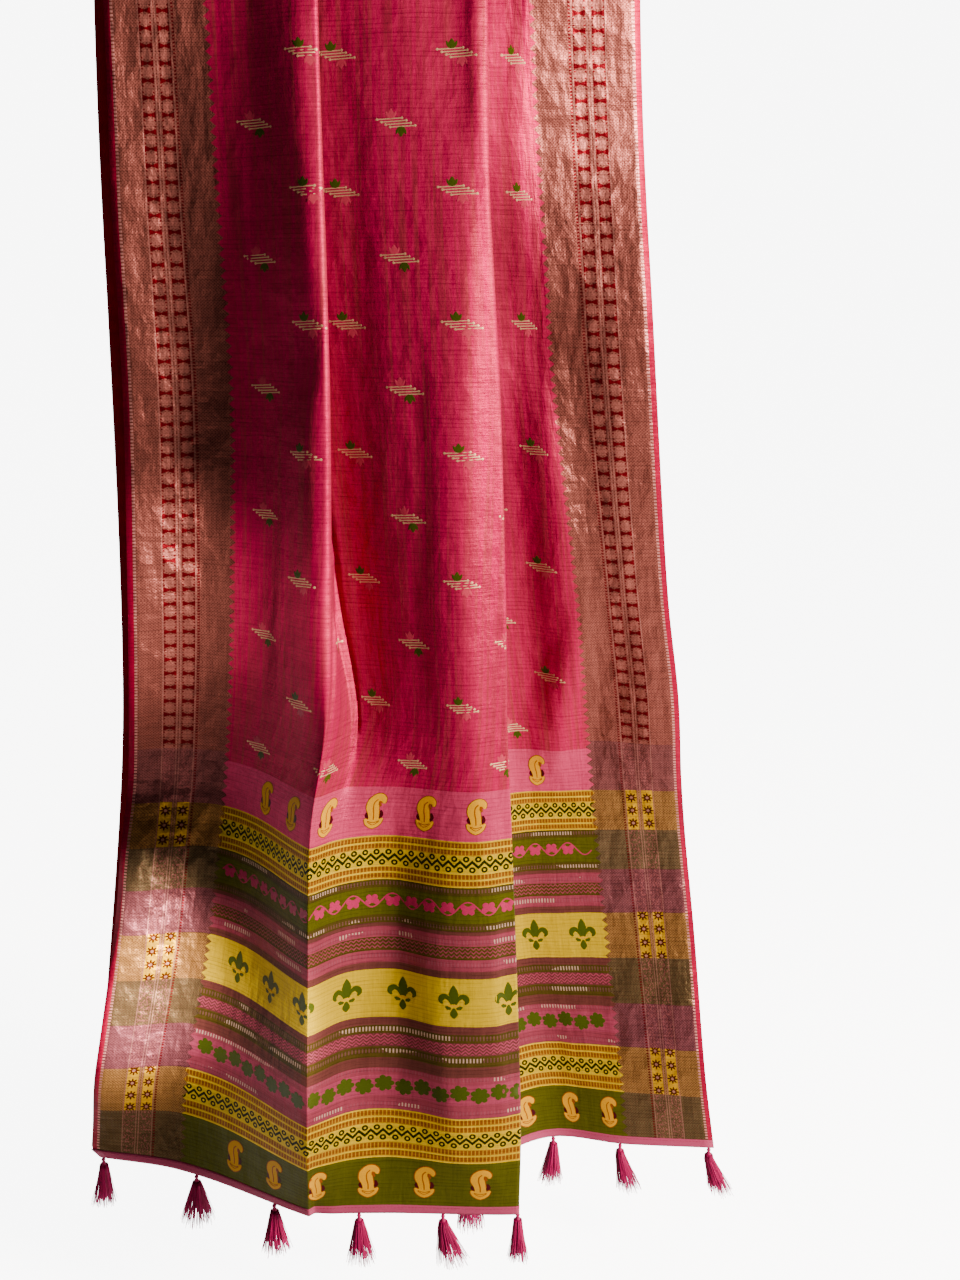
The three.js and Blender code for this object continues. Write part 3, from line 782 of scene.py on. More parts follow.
    # The stiff metal border is lightly crumpled, and the field only a little.
    crumple = add_node(tree, "ShaderNodeTexVoronoi", feature="F1", distance="MANHATTAN")
    feed_all(tree, crumple, {"Vector": p.stretched(u, v, 0.036, 0.022), "Scale": 1.0})
    soft = p.streaks(u, v, 0.06, 0.03, 3.0)
    dents = add_node(tree, "ShaderNodeBump")
    folds = p.times(crumple.outputs["Distance"], 0.6)
    feed_all(tree, dents, {"Strength": p.blend(gold, 0.3, 0.8), "Distance": 5 * MM,
                           "Height": p.plus(folds, soft)})
    tree.links.new(dents.outputs[0], bump.inputs["Normal"])
    tree.links.new(bump.outputs[0], shader.inputs["Normal"])
    return material


def plain_thread(name, colour, roughness=0.5, metallic=0.0, depth=DYE_DEPTH):
    """A plain dyed or metal thread, with a fine grain along the weft."""
    material, tree, shader = new_material(name)
    p = Pattern(tree)
    place = add_node(tree, "ShaderNodeTexCoord")
    grain = p.noise(place.outputs["Object"], 900.0, 1.0)
    shade = add_node(tree, "ShaderNodeHueSaturation")
    grained = p.plus(p.times(grain, 0.5), 0.75)
    feed_all(tree, shade, {"Color": colour, "Value": p.times(grained, depth)})
    feed_all(tree, shader, {"Base Color": shade.outputs[0], "Specular Tint": shade.outputs[0],
                            "Roughness": roughness, "Metallic": metallic, "Specular IOR Level": 0.2})
    return material


def silk_reverse():
    """The saree's wrong side: dull dark maroon, the figures' floating threads only a faint grain."""
    material, tree, shader = new_material("dull maroon wrong side of the silk")
    p = Pattern(tree)
    place = add_node(tree, "ShaderNodeTexCoord")
    grain = p.noise(place.outputs["Object"], 60.0, 3.0)
    colour = p.mix(grain, "#54000C", "#84001C")
    feed_all(tree, shader, {"Base Color": colour, "Specular Tint": colour, "Specular IOR Level": 0.1,
                            "Roughness": 0.7})
    return material


def tassel_thread():
    """Magenta silk thread of the tassels, paler at its frayed tips. The v of its map runs down it."""
    material, tree, shader = new_material("magenta tassel thread")
    p = Pattern(tree)
    uv = add_node(tree, "ShaderNodeUVMap", uv_map="flat")
    split = add_node(tree, "ShaderNodeSeparateXYZ")
    tree.links.new(uv.outputs[0], split.inputs[0])
    tip = p.times(p.minus(split.outputs[1], 0.72), 2.2)
    tip = p.smaller(p.larger(tip, 0.0), 0.35)
    vary = p.mix(split.outputs[0], "#6C0034", "#AC0058")
    feed_all(tree, shader, {"Base Color": p.mix(tip, vary, "#B83C7C"), "Roughness": 0.55,
                            "Specular IOR Level": 0.2})
    return material


def rod_wood():
    """Pale turned wood with grain along the rod."""
    material, tree, shader = new_material("pale turned beech")
    p = Pattern(tree)
    place = add_node(tree, "ShaderNodeTexCoord")
    scale = add_node(tree, "ShaderNodeMapping")
    scale.inputs["Scale"].default_value = (6.0, 160.0, 160.0)
    tree.links.new(place.outputs["Object"], scale.inputs[0])
    grain = p.noise(scale.outputs[0], 1.0, 4.0)
    colour = p.mix(grain, "#8A5C34", "#D0A070")
    feed_all(tree, shader, {"Base Color": colour, "Roughness": 0.5})
    return material


def add_object(name, data):
    made = bpy.data.objects.new(name, data)
    bpy.context.scene.collection.objects.link(made)
    return made


def add_mesh(name, points, faces, materials, flat=None, face_material=None):
    """A smooth mesh piece from points in millimetres, with its flat map and each face's material."""
    mesh = bpy.data.meshes.new(name)
    mesh.from_pydata((np.asarray(points, float) * MM).tolist(), [], [list(face) for face in faces])
    for material in materials:
        mesh.materials.append(material)
    if flat is not None:
        layer = mesh.uv_layers.new(name="flat")
        vertex = np.empty(len(mesh.loops), int)
        mesh.loops.foreach_get("vertex_index", vertex)
        layer.data.foreach_set("uv", np.asarray(flat, float)[vertex].ravel())
    if face_material is not None:
        mesh.polygons.foreach_set("material_index", np.asarray(face_material, dtype=np.int32))
    mesh.polygons.foreach_set("use_smooth", [True] * len(mesh.polygons))
    mesh.update()
    return add_object(name, mesh)


def shell(rows, normals, thickness, flat):
    """A closed thin shell about a grid of middle points: its points, faces, map and face sides. Side 0
    is the outside and the edges, and side 1 the inside."""
    count_r, count_c = rows.shape[:2]
    total = count_r * count_c
    points = np.concatenate([(rows + normals * thickness / 2).reshape(-1, 3),
                             (rows - normals * thickness / 2).reshape(-1, 3)])
    grid = np.arange(total).reshape(count_r, count_c)
    a, b, c, d = grid[:-1, :-1], grid[1:, :-1], grid[1:, 1:], grid[:-1, 1:]
    outside = np.stack([a, b, c, d], axis=-1).reshape(-1, 4)
    inside = outside[:, ::-1] + total
    edges = []
    for line, outward in ((grid[:, 0], False), (grid[:, -1], True), (grid[0], True), (grid[-1], False)):
        start, end = line[:-1], line[1:]
        if outward:
            start, end = end, start
        edges.append(np.stack([start, start + total, end + total, end], axis=-1))
    edges = np.concatenate(edges)
    faces = np.concatenate([outside, inside, edges])
    sides = np.concatenate([np.zeros(len(outside)), np.ones(len(inside)), np.zeros(len(edges))])
    return points, faces, np.concatenate([flat.reshape(-1, 2)] * 2), sides


# The back repeats the front's creases at this strength, and all of its creases keep only this share.
# They grow in over these drops, in front and behind.
BACK_CREASES = 0.6
BACK_CREASE_SHARE = 0.35
FRONT_CREASE_DROPS = (20, 180)
BACK_CREASE_DROPS = (300, 700)

# The cloth's rows from the hem's stitches up over the rod and down the back to the bottom fold,
# listed from the bottom fold so that rows run down the front.
front_drops = np.linspace(0, FRONT_DROP, FRONT_ROWS + 1)
turn_shares = np.linspace(1, 0, TURN_ROWS + 1)[1:-1]
back_drops = np.linspace(BACK_DROP, 0, BACK_ROWS + 1)
fold_angles = np.linspace(math.pi / 2, 0, FOLD_ROWS + 1)[:-1]


def back_from_fold(drops):
    return round_corner(back_rows(drops), drops)


lowest_back = back_from_fold(np.array([BACK_DROP]))[0]
cloth_rows = np.concatenate([fold_rows(lowest_back, fold_angles, 1), back_from_fold(back_drops),
                             turn_rows(turn_shares), front_rows(front_drops)])
cloth_v = np.concatenate([-TURN_LENGTH - BACK_DROP - FOLD_RADIUS * fold_angles, -TURN_LENGTH - back_drops,
                          -TURN_LENGTH * turn_shares, front_drops])
cloth_u = flat_across(cloth_rows, np.maximum(cloth_v, 0))
cloth_v_grid = np.broadcast_to(cloth_v[:, None], cloth_u.shape)
cloth_normals = surface_normals(cloth_rows)
cloth_rise = crease_rise(cloth_u, cloth_v_grid)
# The creases are repeated on the back, mirrored, and die away where pleats lie pressed together.
cloth_rise += BACK_CREASES * crease_rise(CLOTH_WIDTH - cloth_u, -TURN_LENGTH - cloth_v_grid)
# The first pleat opens out below the pallu's start, so that nothing presses on it there.
kernel = np.hanning(13)[1:-1]
closed = 1 - smoothstep(cloth_v, *OPEN_DROPS)
always = np.ones(len(cloth_v))
for first_line, last_line, held in (("ridge1", "under1", closed), ("ridge2", "valley", always)):
    pressed = np.zeros(cloth_u.shape[1])
    pressed[column_of(first_line):column_of(last_line) + 1] = 1
    pressed = np.clip(np.convolve(pressed, kernel / kernel.sum(), mode="same"), 0, 1)
    cloth_rise *= 1 - held[:, None] * pressed[None, :]
# None lies on the rod, and those on the back start lower and are weaker.
front_share = smoothstep(cloth_v, *FRONT_CREASE_DROPS)
back_share = BACK_CREASE_SHARE * smoothstep(-cloth_v, *BACK_CREASE_DROPS)
cloth_rise *= np.where(cloth_v > 0, front_share, back_share)[:, None]
cloth_rows = cloth_rows + cloth_normals * cloth_rise[..., None]
# The hem's left corner is slanted, and the cloth under it with it.
border_share = np.maximum(1 - np.arange(cloth_u.shape[1]) / (SPAN_STEPS[0] * FINE), 0)
hem_share = np.clip((cloth_v - FRONT_DROP + HEM_HEIGHT) / HEM_HEIGHT, 0, 1)
cloth_rows[..., 0] += HEM_CORNER * border_share * hem_share[:, None]
cloth_normals = surface_normals(cloth_rows)


def on_cloth(u, v, height):
    """Points on the cloth at flat places, moved out from its middle."""
    u = np.asarray(u, float)
    v = np.asarray(v, float)
    row = np.interp(v, cloth_v, np.arange(len(cloth_v)))
    low = np.minimum(row.astype(int), len(cloth_v) - 2)
    share = (row - low)[:, None]
    columns = np.arange(cloth_u.shape[1])
    column = np.empty_like(u)
    for n in range(len(u)):
        line = cloth_u[low[n]] * (1 - share[n]) + cloth_u[low[n] + 1] * share[n]
        column[n] = np.interp(u[n], line, columns)
    left = np.minimum(column.astype(int), cloth_u.shape[1] - 2)
    aside = (column - left)[:, None]

    def read(grid):
        upper = grid[low, left] * (1 - aside) + grid[low, left + 1] * aside
        under = grid[low + 1, left] * (1 - aside) + grid[low + 1, left + 1] * aside
        return upper * (1 - share) + under * share

    return read(cloth_rows) + read(cloth_normals) * np.asarray(height, float)[:, None]


# How far a figure's edges lie off the cloth, and how much higher its middle is.
FIGURE_LIFT = 0.08
FIGURE_RISE = 0.25


def spread(spine, widths, steps):
    """A shape drawn along a smooth spine: three points across at each step, as (x, y) and a rise."""
    spine = np.asarray(spine, float)
    widths = np.asarray(widths, float)
    last = len(spine) - 1
    at = np.linspace(0, last, steps + 1)
    k = np.minimum(at.astype(int), last - 1)
    t = (at - k)[:, None]
    before = spine[np.maximum(k - 1, 0)]
    after = spine[np.minimum(k + 2, last)]
    a, b = spine[k], spine[k + 1]
    line = 0.5 * ((2 * a) + (b - before) * t + (2 * before - 5 * a + 4 * b - after) * t ** 2
                  + (3 * a - before - 3 * b + after) * t ** 3)
    half = np.interp(at, np.arange(last + 1), widths)[:, None]
    heading = np.gradient(line, axis=0)
    heading /= np.linalg.norm(heading, axis=1, keepdims=True)
    aside = np.stack([-heading[:, 1], heading[:, 0]], axis=1)
    points = np.stack([line + aside * half, line, line - aside * half], axis=1).reshape(-1, 2)
    rise = np.tile([0.0, FIGURE_RISE, 0.0], steps + 1)
    faces = []
    for s in range(steps):
        for c in range(2):
            first = 3 * s + c
            faces.append((first, first + 3, first + 4, first + 1))
    return points, rise, faces


class Figures:
    """Gathers woven figures of one thread colour and lays them on the cloth as one piece."""

    def __init__(self):
        self.u = []
        self.v = []
        self.height = []
        self.faces = []
        self.count = 0

    def add(self, shape, u, v, layer=0.0, flip=1, turn=1):
        """One shape at a flat place. Its own y runs up the cloth; flip -1 turns it over end to end."""
        points, rise, faces = shape
        self.u.append(u + turn * points[:, 0])
        self.v.append(v - flip * points[:, 1])
        self.height.append(CLOTH_THICKNESS / 2 + FIGURE_LIFT + layer + rise)
        ordered = faces if flip * turn > 0 else [face[::-1] for face in faces]
        self.faces += [tuple(corner + self.count for corner in face) for face in ordered]
        self.count += len(points)

    def lay(self, name, material):
        points = on_cloth(np.concatenate(self.u), np.concatenate(self.v), np.concatenate(self.height))
        flat = np.stack([np.concatenate(self.u), np.concatenate(self.v)], axis=-1) * MM
        piece = add_mesh(name, points, self.faces, [material], flat)
        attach(piece, "root")
        return piece


def oval(radius, steps=8):
    """A round spot."""
    at = np.linspace(-1, 1, steps + 1)
    spine = np.stack([np.zeros(steps + 1), at * radius], axis=1)
    return spread(spine, radius * np.sqrt(np.maximum(1 - at ** 2, 0.02)), steps)


silk = silk_face()
reverse = silk_reverse()
gold = plain_thread("cream gold supplementary thread", "#CC9C78", 0.45, 0.3, 0.7)
pink_thread = plain_thread("pink silk thread", "#C83C58")
green_thread = plain_thread("leaf green silk thread", "#445010")
yellow_thread = plain_thread("yellow silk thread", "#F4B000", 0.6, depth=0.45)
amber_thread = plain_thread("amber outline thread", "#9A4A04")
maroon_thread = plain_thread("dark maroon ground thread", "#480A14")
magenta_thread = plain_thread("magenta sewing thread", MAGENTA, 0.5)

# The cloth itself, and the turned hem below it.
points, faces, flat, sides = shell(cloth_rows, cloth_normals, CLOTH_THICKNESS,
                                   np.stack([cloth_u, cloth_v_grid], axis=-1) * MM)
cloth = add_mesh("saree_cloth", points, faces, [silk, reverse], flat, sides)
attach(cloth, "root")
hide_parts("front_stretch", "back_stretch")

hem_drops = np.linspace(FRONT_DROP - HEM_HEIGHT, FRONT_DROP, HEM_ROWS)
hem_rows = front_rows(hem_drops)
hem_rows[..., 0] += HEM_CORNER * border_share * np.linspace(0, 1, HEM_ROWS)[:, None]


def hem_band():
    normals = surface_normals(hem_rows)
    across = flat_across(hem_rows, hem_drops)
    down = np.broadcast_to(hem_drops[:, None], across.shape)
    flat = np.stack([across, down], axis=-1) * MM
    points, faces, flat, sides = shell(hem_rows, normals, HEM_THICKNESS, flat)
    band = plain_thread("pink mauve hem", "#C04C74", 0.55)
    piece = add_mesh("hem", points, faces, [band], flat)
    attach(piece, "root")
    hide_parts("hem_band")
    return piece


hem = hem_band()

# The inner stretch: the rest of the cloth, folded lengthwise, from the bottom fold up over the rod.
INNER_TOP = 300
INNER_LOW = (-380, 390)
INNER_END_ANGLE = math.radians(25)
INNER_CLEAR_DROP = 190
INNER_COLUMNS = 60
INNER_ROWS = 80
INNER_RIPPLE = 1.3
INNER_RIPPLE_WIDTH = 31
INNER_RIPPLE_START = (150, 500)
INNER_RIPPLE_END = 1500


def inner_stretch():
    across = np.linspace(0, 1, INNER_COLUMNS + 1)
    turn = np.linspace(INNER_END_ANGLE, math.pi, 14)[:-1]
    drops = np.linspace(0, BACK_DROP, INNER_ROWS + 1)
    top_x = -INNER_TOP + 2 * INNER_TOP * across
    over = np.stack(np.broadcast_arrays(top_x, -INNER_RADIUS * np.cos(turn)[:, None],
                                        INNER_RADIUS * np.sin(turn)[:, None]), axis=-1)
    share = (drops / BACK_DROP)[:, None]
    left = -INNER_TOP + (INNER_LOW[0] + INNER_TOP) * share
    right = INNER_TOP + (INNER_LOW[1] - INNER_TOP) * share
    x = left + (right - left) * across
    down = np.broadcast_to(drops[:, None], x.shape)
    base = np.stack([back_base(drops, x[:, c]) for c in range(len(across))], axis=1)
    away = smoothstep(down, 0, INNER_CLEAR_DROP)
    depth = INNER_RADIUS * (1 - away) + (base - 2 * FOLD_RADIUS) * away
    ripple = np.sin(x / INNER_RIPPLE_WIDTH + 0.9 * np.sin(down / 260))
    ripple = ripple * smoothstep(down, *INNER_RIPPLE_START)
    ripple = INNER_RIPPLE * (ripple - away) * (1 - smoothstep(down, INNER_RIPPLE_END, BACK_DROP))
    hang = np.stack([x, depth + ripple, -down], axis=-1)
    bottom = fold_rows(hang[-1], np.linspace(0, math.pi / 2, FOLD_ROWS + 1)[1:], -1)
    rows = np.concatenate([over, hang, bottom])
    normals = surface_normals(rows)
    flat = np.stack(np.meshgrid(across, np.linspace(0, 1, len(rows))), axis=-1)
    points, faces, flat, sides = shell(rows, normals, INNER_THICKNESS, flat)
    piece = add_mesh("inner_cloth", points, faces, [reverse], flat)
    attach(piece, "root")
    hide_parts("inner_stretch")
    return piece


inner = inner_stretch()

# Woven sprigs over the crimson field: four stepped gold bars with a leaf above and a leaf below.
SPRIG_PITCH = 165
COLUMN_PITCH = 72
FIRST_COLUMN = 180
LAST_COLUMN = 980
SPRIG_FIRST = 15
SPRIG_LAST = 1185
ROD_MARGIN = 20
FOLD_MARGIN = 60
BAR_LENGTH = 30
BAR_STEP = (5.2, -3.1)


def sprig_places():
    """The flat place of each sprig, and whether its pink leaf is above (1) or below (-1)."""
    places = []
    columns = np.arange(FIRST_COLUMN, LAST_COLUMN, COLUMN_PITCH)
    for n, u in enumerate(columns):
        half = n % 2
        first = SPRIG_FIRST + SPRIG_PITCH / 2 * half
        behind = int((BACK_DROP - FOLD_MARGIN) // SPRIG_PITCH)
        for k in range(-behind, SPRIG_LAST // SPRIG_PITCH + 1):
            v = first + SPRIG_PITCH * k
            on_rod = abs(v + TURN_LENGTH / 2) < TURN_LENGTH / 2 + ROD_MARGIN
            if v <= SPRIG_LAST and not on_rod:
                places.append((u, v, 1 - 2 * half))
    return places


def body_sprigs():
    bars, pinks, greens = Figures(), Figures(), Figures()
    dot = oval(1.7, 4)
    leaf = spread([(0, 0), (0, 4), (0, 7.5), (0, 12)], (3.2, 5.4, 3.4, 0.3), 8)
    wing = spread([(2, 2), (4.5, 5), (6.2, 9)], (2.0, 2.0, 0.3), 5)
    other_wing = spread([(-2, 2), (-4.5, 5), (-6.2, 9)], (2.0, 2.0, 0.3), 5)
    for u, v, side in sprig_places():
        for n in range(4):
            start = (-BAR_LENGTH / 2 + BAR_STEP[0] * (n - 1.5), BAR_STEP[1] * (n - 1.5) - 0.6)
            end = (start[0] + BAR_LENGTH, start[1] + 1.6)
            bars.add(spread([start, end], (0.75, 0.75), 4), u, v)
            bars.add(dot, u + start[0], v - start[1], 0.02)
            bars.add(dot, u + end[0], v - end[1], 0.02)
        upper, lower = (pinks, greens) if side > 0 else (greens, pinks)
        for part in (leaf, wing, other_wing):
            upper.add(part, u - 6, v - 5)
            lower.add(part, u + 6, v + 5, flip=-1)
    return [bars.lay("sprig_bars", gold), pinks.lay("pink_leaves", pink_thread),
            greens.lay("green_leaves", green_thread)]


# Paisleys stand half a pitch off the columns in the pink band and in the last olive band.
PAISLEY_COLUMNS = (214, 286, 358, 430, 502, 574, 646, 718, 790, 862, 934, 1000)
PAISLEY_ROWS = (1237, 1780)
# Fleurs stand on the columns of the yellow band.
FLEUR_COLUMNS = (180, 252, 324, 396, 468, 540, 612, 684, 756, 828, 919, 990)
FLEUR_ROW = 1499


def paisleys():
    grounds, outlines, fills, details = Figures(), Figures(), Figures(), Figures()
    body_spine = [(0, -17), (0, -9), (-1.5, -1), (-4, 7), (-3.5, 13), (0, 18), (5.5, 19), (10, 15.5),
                  (10.5, 10.5)]
    body_half = (8.5, 7.0, 7.6, 9.0, 8.4, 6.2, 4.8, 3.8, 1.4)
    foot_spine = [(-12.5, -10), (-8, -15), (0, -18.5), (8, -15), (12.5, -10)]
    foot_half = (0.6, 4.0, 6.0, 4.0, 0.6)
    rim = 1.2
    shapes = []
    for side in (-1, 1):
        lobe = [(side * 6, -11), (side * 9.5, -5), (side * 8.5, 1)]
        shapes.append((grounds, lobe, (2.5, 3.6, 1.0), 6, 0.0))
    shapes.append((outlines, body_spine, np.array(body_half) + rim, 22, 0.12))
    shapes.append((outlines, foot_spine, np.array(foot_half) + rim, 12, 0.14))
    shapes.append((fills, body_spine, body_half, 22, 0.3))
    shapes.append((fills, foot_spine, foot_half, 12, 0.34))
    midrib = [(0, -12), (-0.5, -4), (-2.5, 4), (-2.5, 12), (1.5, 16.5)]
    shapes.append((details, midrib, (0.8,) * 5, 12, 0.55))
    shapes.append((details, [(5, 14), (5.5, 10), (8, 7)], (1.2, 1.9, 1.0), 6, 0.55))
    for low in (0, 3.2):
        arc = [(-8, -13.5 - low / 3), (0, -16 - low), (8, -13.5 - low / 3)]
        shapes.append((details, arc, (0.5,) * 3, 8, 0.6))
    for v, columns in zip(PAISLEY_ROWS, (PAISLEY_COLUMNS[:-1], PAISLEY_COLUMNS)):
        for u in columns:
            for thread, spine, half, steps, layer in shapes:
                thread.add(spread(spine, half, steps), u, v, layer)
    return [grounds.lay("paisley_grounds", maroon_thread), outlines.lay("paisley_outlines", amber_thread),
            fills.lay("paisleys", yellow_thread), details.lay("paisley_lines", amber_thread)]


def fleurs():
    greens, lines = Figures(), Figures()
    v = FLEUR_ROW
    middle = [(0, -3), (0, 5), (0, 11), (0, 18), (0, 24.5)]
    for u in FLEUR_COLUMNS:
        greens.add(spread(middle, (1.4, 4.9, 6.4, 4.4, 0.3), 14), u, v)
        for side in (-1, 1):
            petal = [(side * 2.6, -3.5), (side * 5.5, 3.5), (side * 10.5, 8), (side * 15, 6),
                     (side * 16.6, 1), (side * 14, -3)]
            greens.add(spread(petal, (1.2, 2.1, 3.7, 4.3, 3.0, 0.9), 16), u, v, 0.05)
            leaf = [(side * 3.5, -10), (side * 7.5, -8.5), (side * 11, -7)]
            greens.add(spread(leaf, (1.2, 3.0, 0.6), 6), u, v, 0.05)
        greens.add(spread([(0, -9), (0, -15), (0, -19), (0, -24)], (1.0, 4.6, 5.0, 1.0), 10), u, v)
        lines.add(spread([(-7, -5.8), (0, -5.2), (7, -5.8)], (0.9,) * 3, 6), u, v, 0.15)
    return [greens.lay("fleurs", green_thread), lines.lay("fleur_bars", yellow_thread)]


VINE_ROW = 1365
VINE_HALF_WAVE = 26
VINE_REACH = 9.5
ROUND_FLOWER_ROW = 1636
ROUND_FLOWER_PITCH = 25
FIELD_SPAN = (134, 1016)


def vines():
    """The olive band's rose vine, with a lobed leaf in each bend, and the mauve band's row of round
    green flowers."""
    stems, leaves, rounds = Figures(), Figures(), Figures()
    at = np.linspace(*FIELD_SPAN, 260)
    wave = VINE_REACH * np.sin(np.pi * (at - FIELD_SPAN[0]) / VINE_HALF_WAVE)
    stems.add(spread(np.stack([at, wave], axis=1), (0.95,) * len(at), 520), 0, VINE_ROW)
    lobes = ((-5.2, 1.2, 4.2), (5.2, 1.2, 4.2), (-4.0, 7.6, 4.0), (4.0, 7.6, 4.0), (0, 3.5, 4.4))
    bends = int((FIELD_SPAN[1] - FIELD_SPAN[0]) // VINE_HALF_WAVE)
    for n in range(bends):
        u = FIELD_SPAN[0] + VINE_HALF_WAVE * (n + 0.5)
        flip = 1 if n % 2 else -1
        for x, y, size in lobes:
            leaves.add(oval(size, 6), u + x, VINE_ROW - flip * (y - 3), 0.1 + 0.02 * abs(x), flip)
    flowers = int((FIELD_SPAN[1] - FIELD_SPAN[0]) // ROUND_FLOWER_PITCH)
    for n in range(flowers):
        u = FIELD_SPAN[0] + ROUND_FLOWER_PITCH * (n + 0.5)
        v = ROUND_FLOWER_ROW + (2.2 if n % 2 else -2.2)
        rounds.add(oval(8.8, 8), u, v, 0.1)
        for k in range(7):
            turn = 2 * math.pi * k / 7
            rounds.add(oval(3.9, 6), u + 8.6 * math.cos(turn), v + 8.6 * math.sin(turn), 0.02 * (k % 3))
    rose_thread = plain_thread("rose silk thread", "#B8285A")
    return [stems.lay("vine_stem", rose_thread), leaves.lay("vine_leaves", rose_thread),
            rounds.lay("round_flowers", green_thread)]


figures = body_sprigs() + paisleys() + fleurs() + vines()


# Tassels: their places along the hem, how far each tip hangs to the right, how wide each opens, and
# how much longer than the others it is.
TASSELS = (
    # along, lean, open, longer
    (5, -3, 0.75, 0), (163, -2, 1.1, 0), (312, 1, 0.9, 0), (449, 2, 0.9, 0), (568, 14, 1.0, 0),
    (680, 1, 0.6, 0), (817, 2, 0.85, 16), (990, -4, 0.8, 0), (1095, 16, 0.8, 0), (1230, 22, 0.75, 0),
)
TASSEL_LENGTH = 78
TASSEL_SPREAD = 25
TASSEL_HEAD = ((0.5, 0), (2.2, -0.8), (3.3, -3.5), (2.2, -6), (2.6, -7), (3.6, -9), (4.2, -12),
               (5.0, -16), (3.5, -17))
HEAD_LENGTH = 17
THREADS_START = 11
BEND_DROP = 44
BEND_SHARE = 0.62
BOUND_SHARE = 0.24
RAGGEDNESS = 16
THREADS = 190
THREAD_RADIUS = 0.6
THREAD_TAPER = 0.35
THREAD_WANDER = 1.6
THREAD_STEPS = 7
THREAD_SIDES = 3


def lathe(profile, sides):
    """A turned form about a vertical line: its points and faces."""
    points, faces = [], []
    for radius, height in profile:
        for k in range(sides):
            turn = 2 * math.pi * k / sides
            points.append((radius * math.cos(turn), radius * math.sin(turn), height))
    for n in range(len(profile) - 1):
        for k in range(sides):
            a, b = n * sides + k, n * sides + (k + 1) % sides
            faces.append((a, a + sides, b + sides, b))
    faces.append(tuple(range(sides)))
    faces.append(tuple(reversed(range((len(profile) - 1) * sides, len(profile) * sides))))
    return np.array(points), faces


def tassel(lean, opening, longer, random):
    """One tassel from its top at the origin: a knot, a bound head and fine threads that fan out."""
    points, faces = lathe(TASSEL_HEAD, 14)
    flat = np.tile([0.4, 0.0], (len(points), 1))
    all_points, all_faces, all_flat = [points], list(faces), [flat]
    count = len(points)
    golden = math.pi * (3 - math.sqrt(5))
    for n in range(THREADS):
        out = math.sqrt((n + 0.5) / THREADS)
        turn = n * golden + random.uniform(-0.2, 0.2)
        aside = np.array([math.cos(turn), math.sin(turn)]) * out
        length = TASSEL_LENGTH + longer - RAGGEDNESS * random.random() ** 1.6
        wander = random.normal(0, 1.0, 2)
        shade = random.random()
        t = np.linspace(0, 1, THREAD_STEPS + 1)
        drop = THREADS_START + (length - THREADS_START) * t
        bend = np.interp(drop, (THREADS_START, BEND_DROP, TASSEL_LENGTH),
                         (BOUND_SHARE, BEND_SHARE * opening, opening))
        sway = lean * np.maximum(drop - HEAD_LENGTH, 0) / (TASSEL_LENGTH - HEAD_LENGTH)
        wander = THREAD_WANDER * wander * t[:, None] ** 2
        spine = np.stack([aside[0] * TASSEL_SPREAD * bend + sway + wander[:, 0],
                          aside[1] * TASSEL_SPREAD * bend + wander[:, 1], -drop], axis=1)
        thick = THREAD_RADIUS * (1 - THREAD_TAPER * t)
        ring = 2 * np.pi * np.arange(THREAD_SIDES) / THREAD_SIDES
        tube = spine[:, None, :].repeat(THREAD_SIDES, axis=1)
        tube[..., 0] += thick[:, None] * np.cos(ring)
        tube[..., 1] += thick[:, None] * np.sin(ring)
        all_points.append(tube.reshape(-1, 3))
        all_flat.append(np.stack([np.full(len(t) * THREAD_SIDES, shade), t.repeat(THREAD_SIDES)], axis=1))
        for s in range(THREAD_STEPS):
            for k in range(THREAD_SIDES):
                a = count + s * THREAD_SIDES + k
                b = count + s * THREAD_SIDES + (k + 1) % THREAD_SIDES
                all_faces.append((a, a + THREAD_SIDES, b + THREAD_SIDES, b))
        all_faces.append(tuple(count + k for k in range(THREAD_SIDES)))
        end = count + THREAD_STEPS * THREAD_SIDES
        all_faces.append(tuple(end + k for k in reversed(range(THREAD_SIDES))))
        count += (THREAD_STEPS + 1) * THREAD_SIDES
    return np.concatenate(all_points), all_faces, np.concatenate(all_flat)


def hem_point(along):
    """The point at a distance along the hem's lowest line from its left end."""
    line = hem_rows[-1]
    length = np.concatenate([[0], np.cumsum(np.linalg.norm(np.diff(line, axis=0), axis=1))])
    return np.array([np.interp(along, length, line[:, n]) for n in range(3)])


tassel_material = tassel_thread()
random = np.random.default_rng(7)
for n, (along, lean, opening, longer) in enumerate(TASSELS):
    points, faces, flat = tassel(lean, opening, longer, random)
    name = f"tassel_{n + 1:02d}"
    points = points + hem_point(along) - [0, 0, 0.3]
    piece = add_mesh(f"{name}_threads", points, faces, [tassel_material], flat)
    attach(piece, "root")
    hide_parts(name)


# Stitches along the top of the hem, set out by Geometry Nodes.
STITCH_PITCH = 5.0
STITCH_LENGTH = 3.0
STITCH_THICKNESS = 0.5


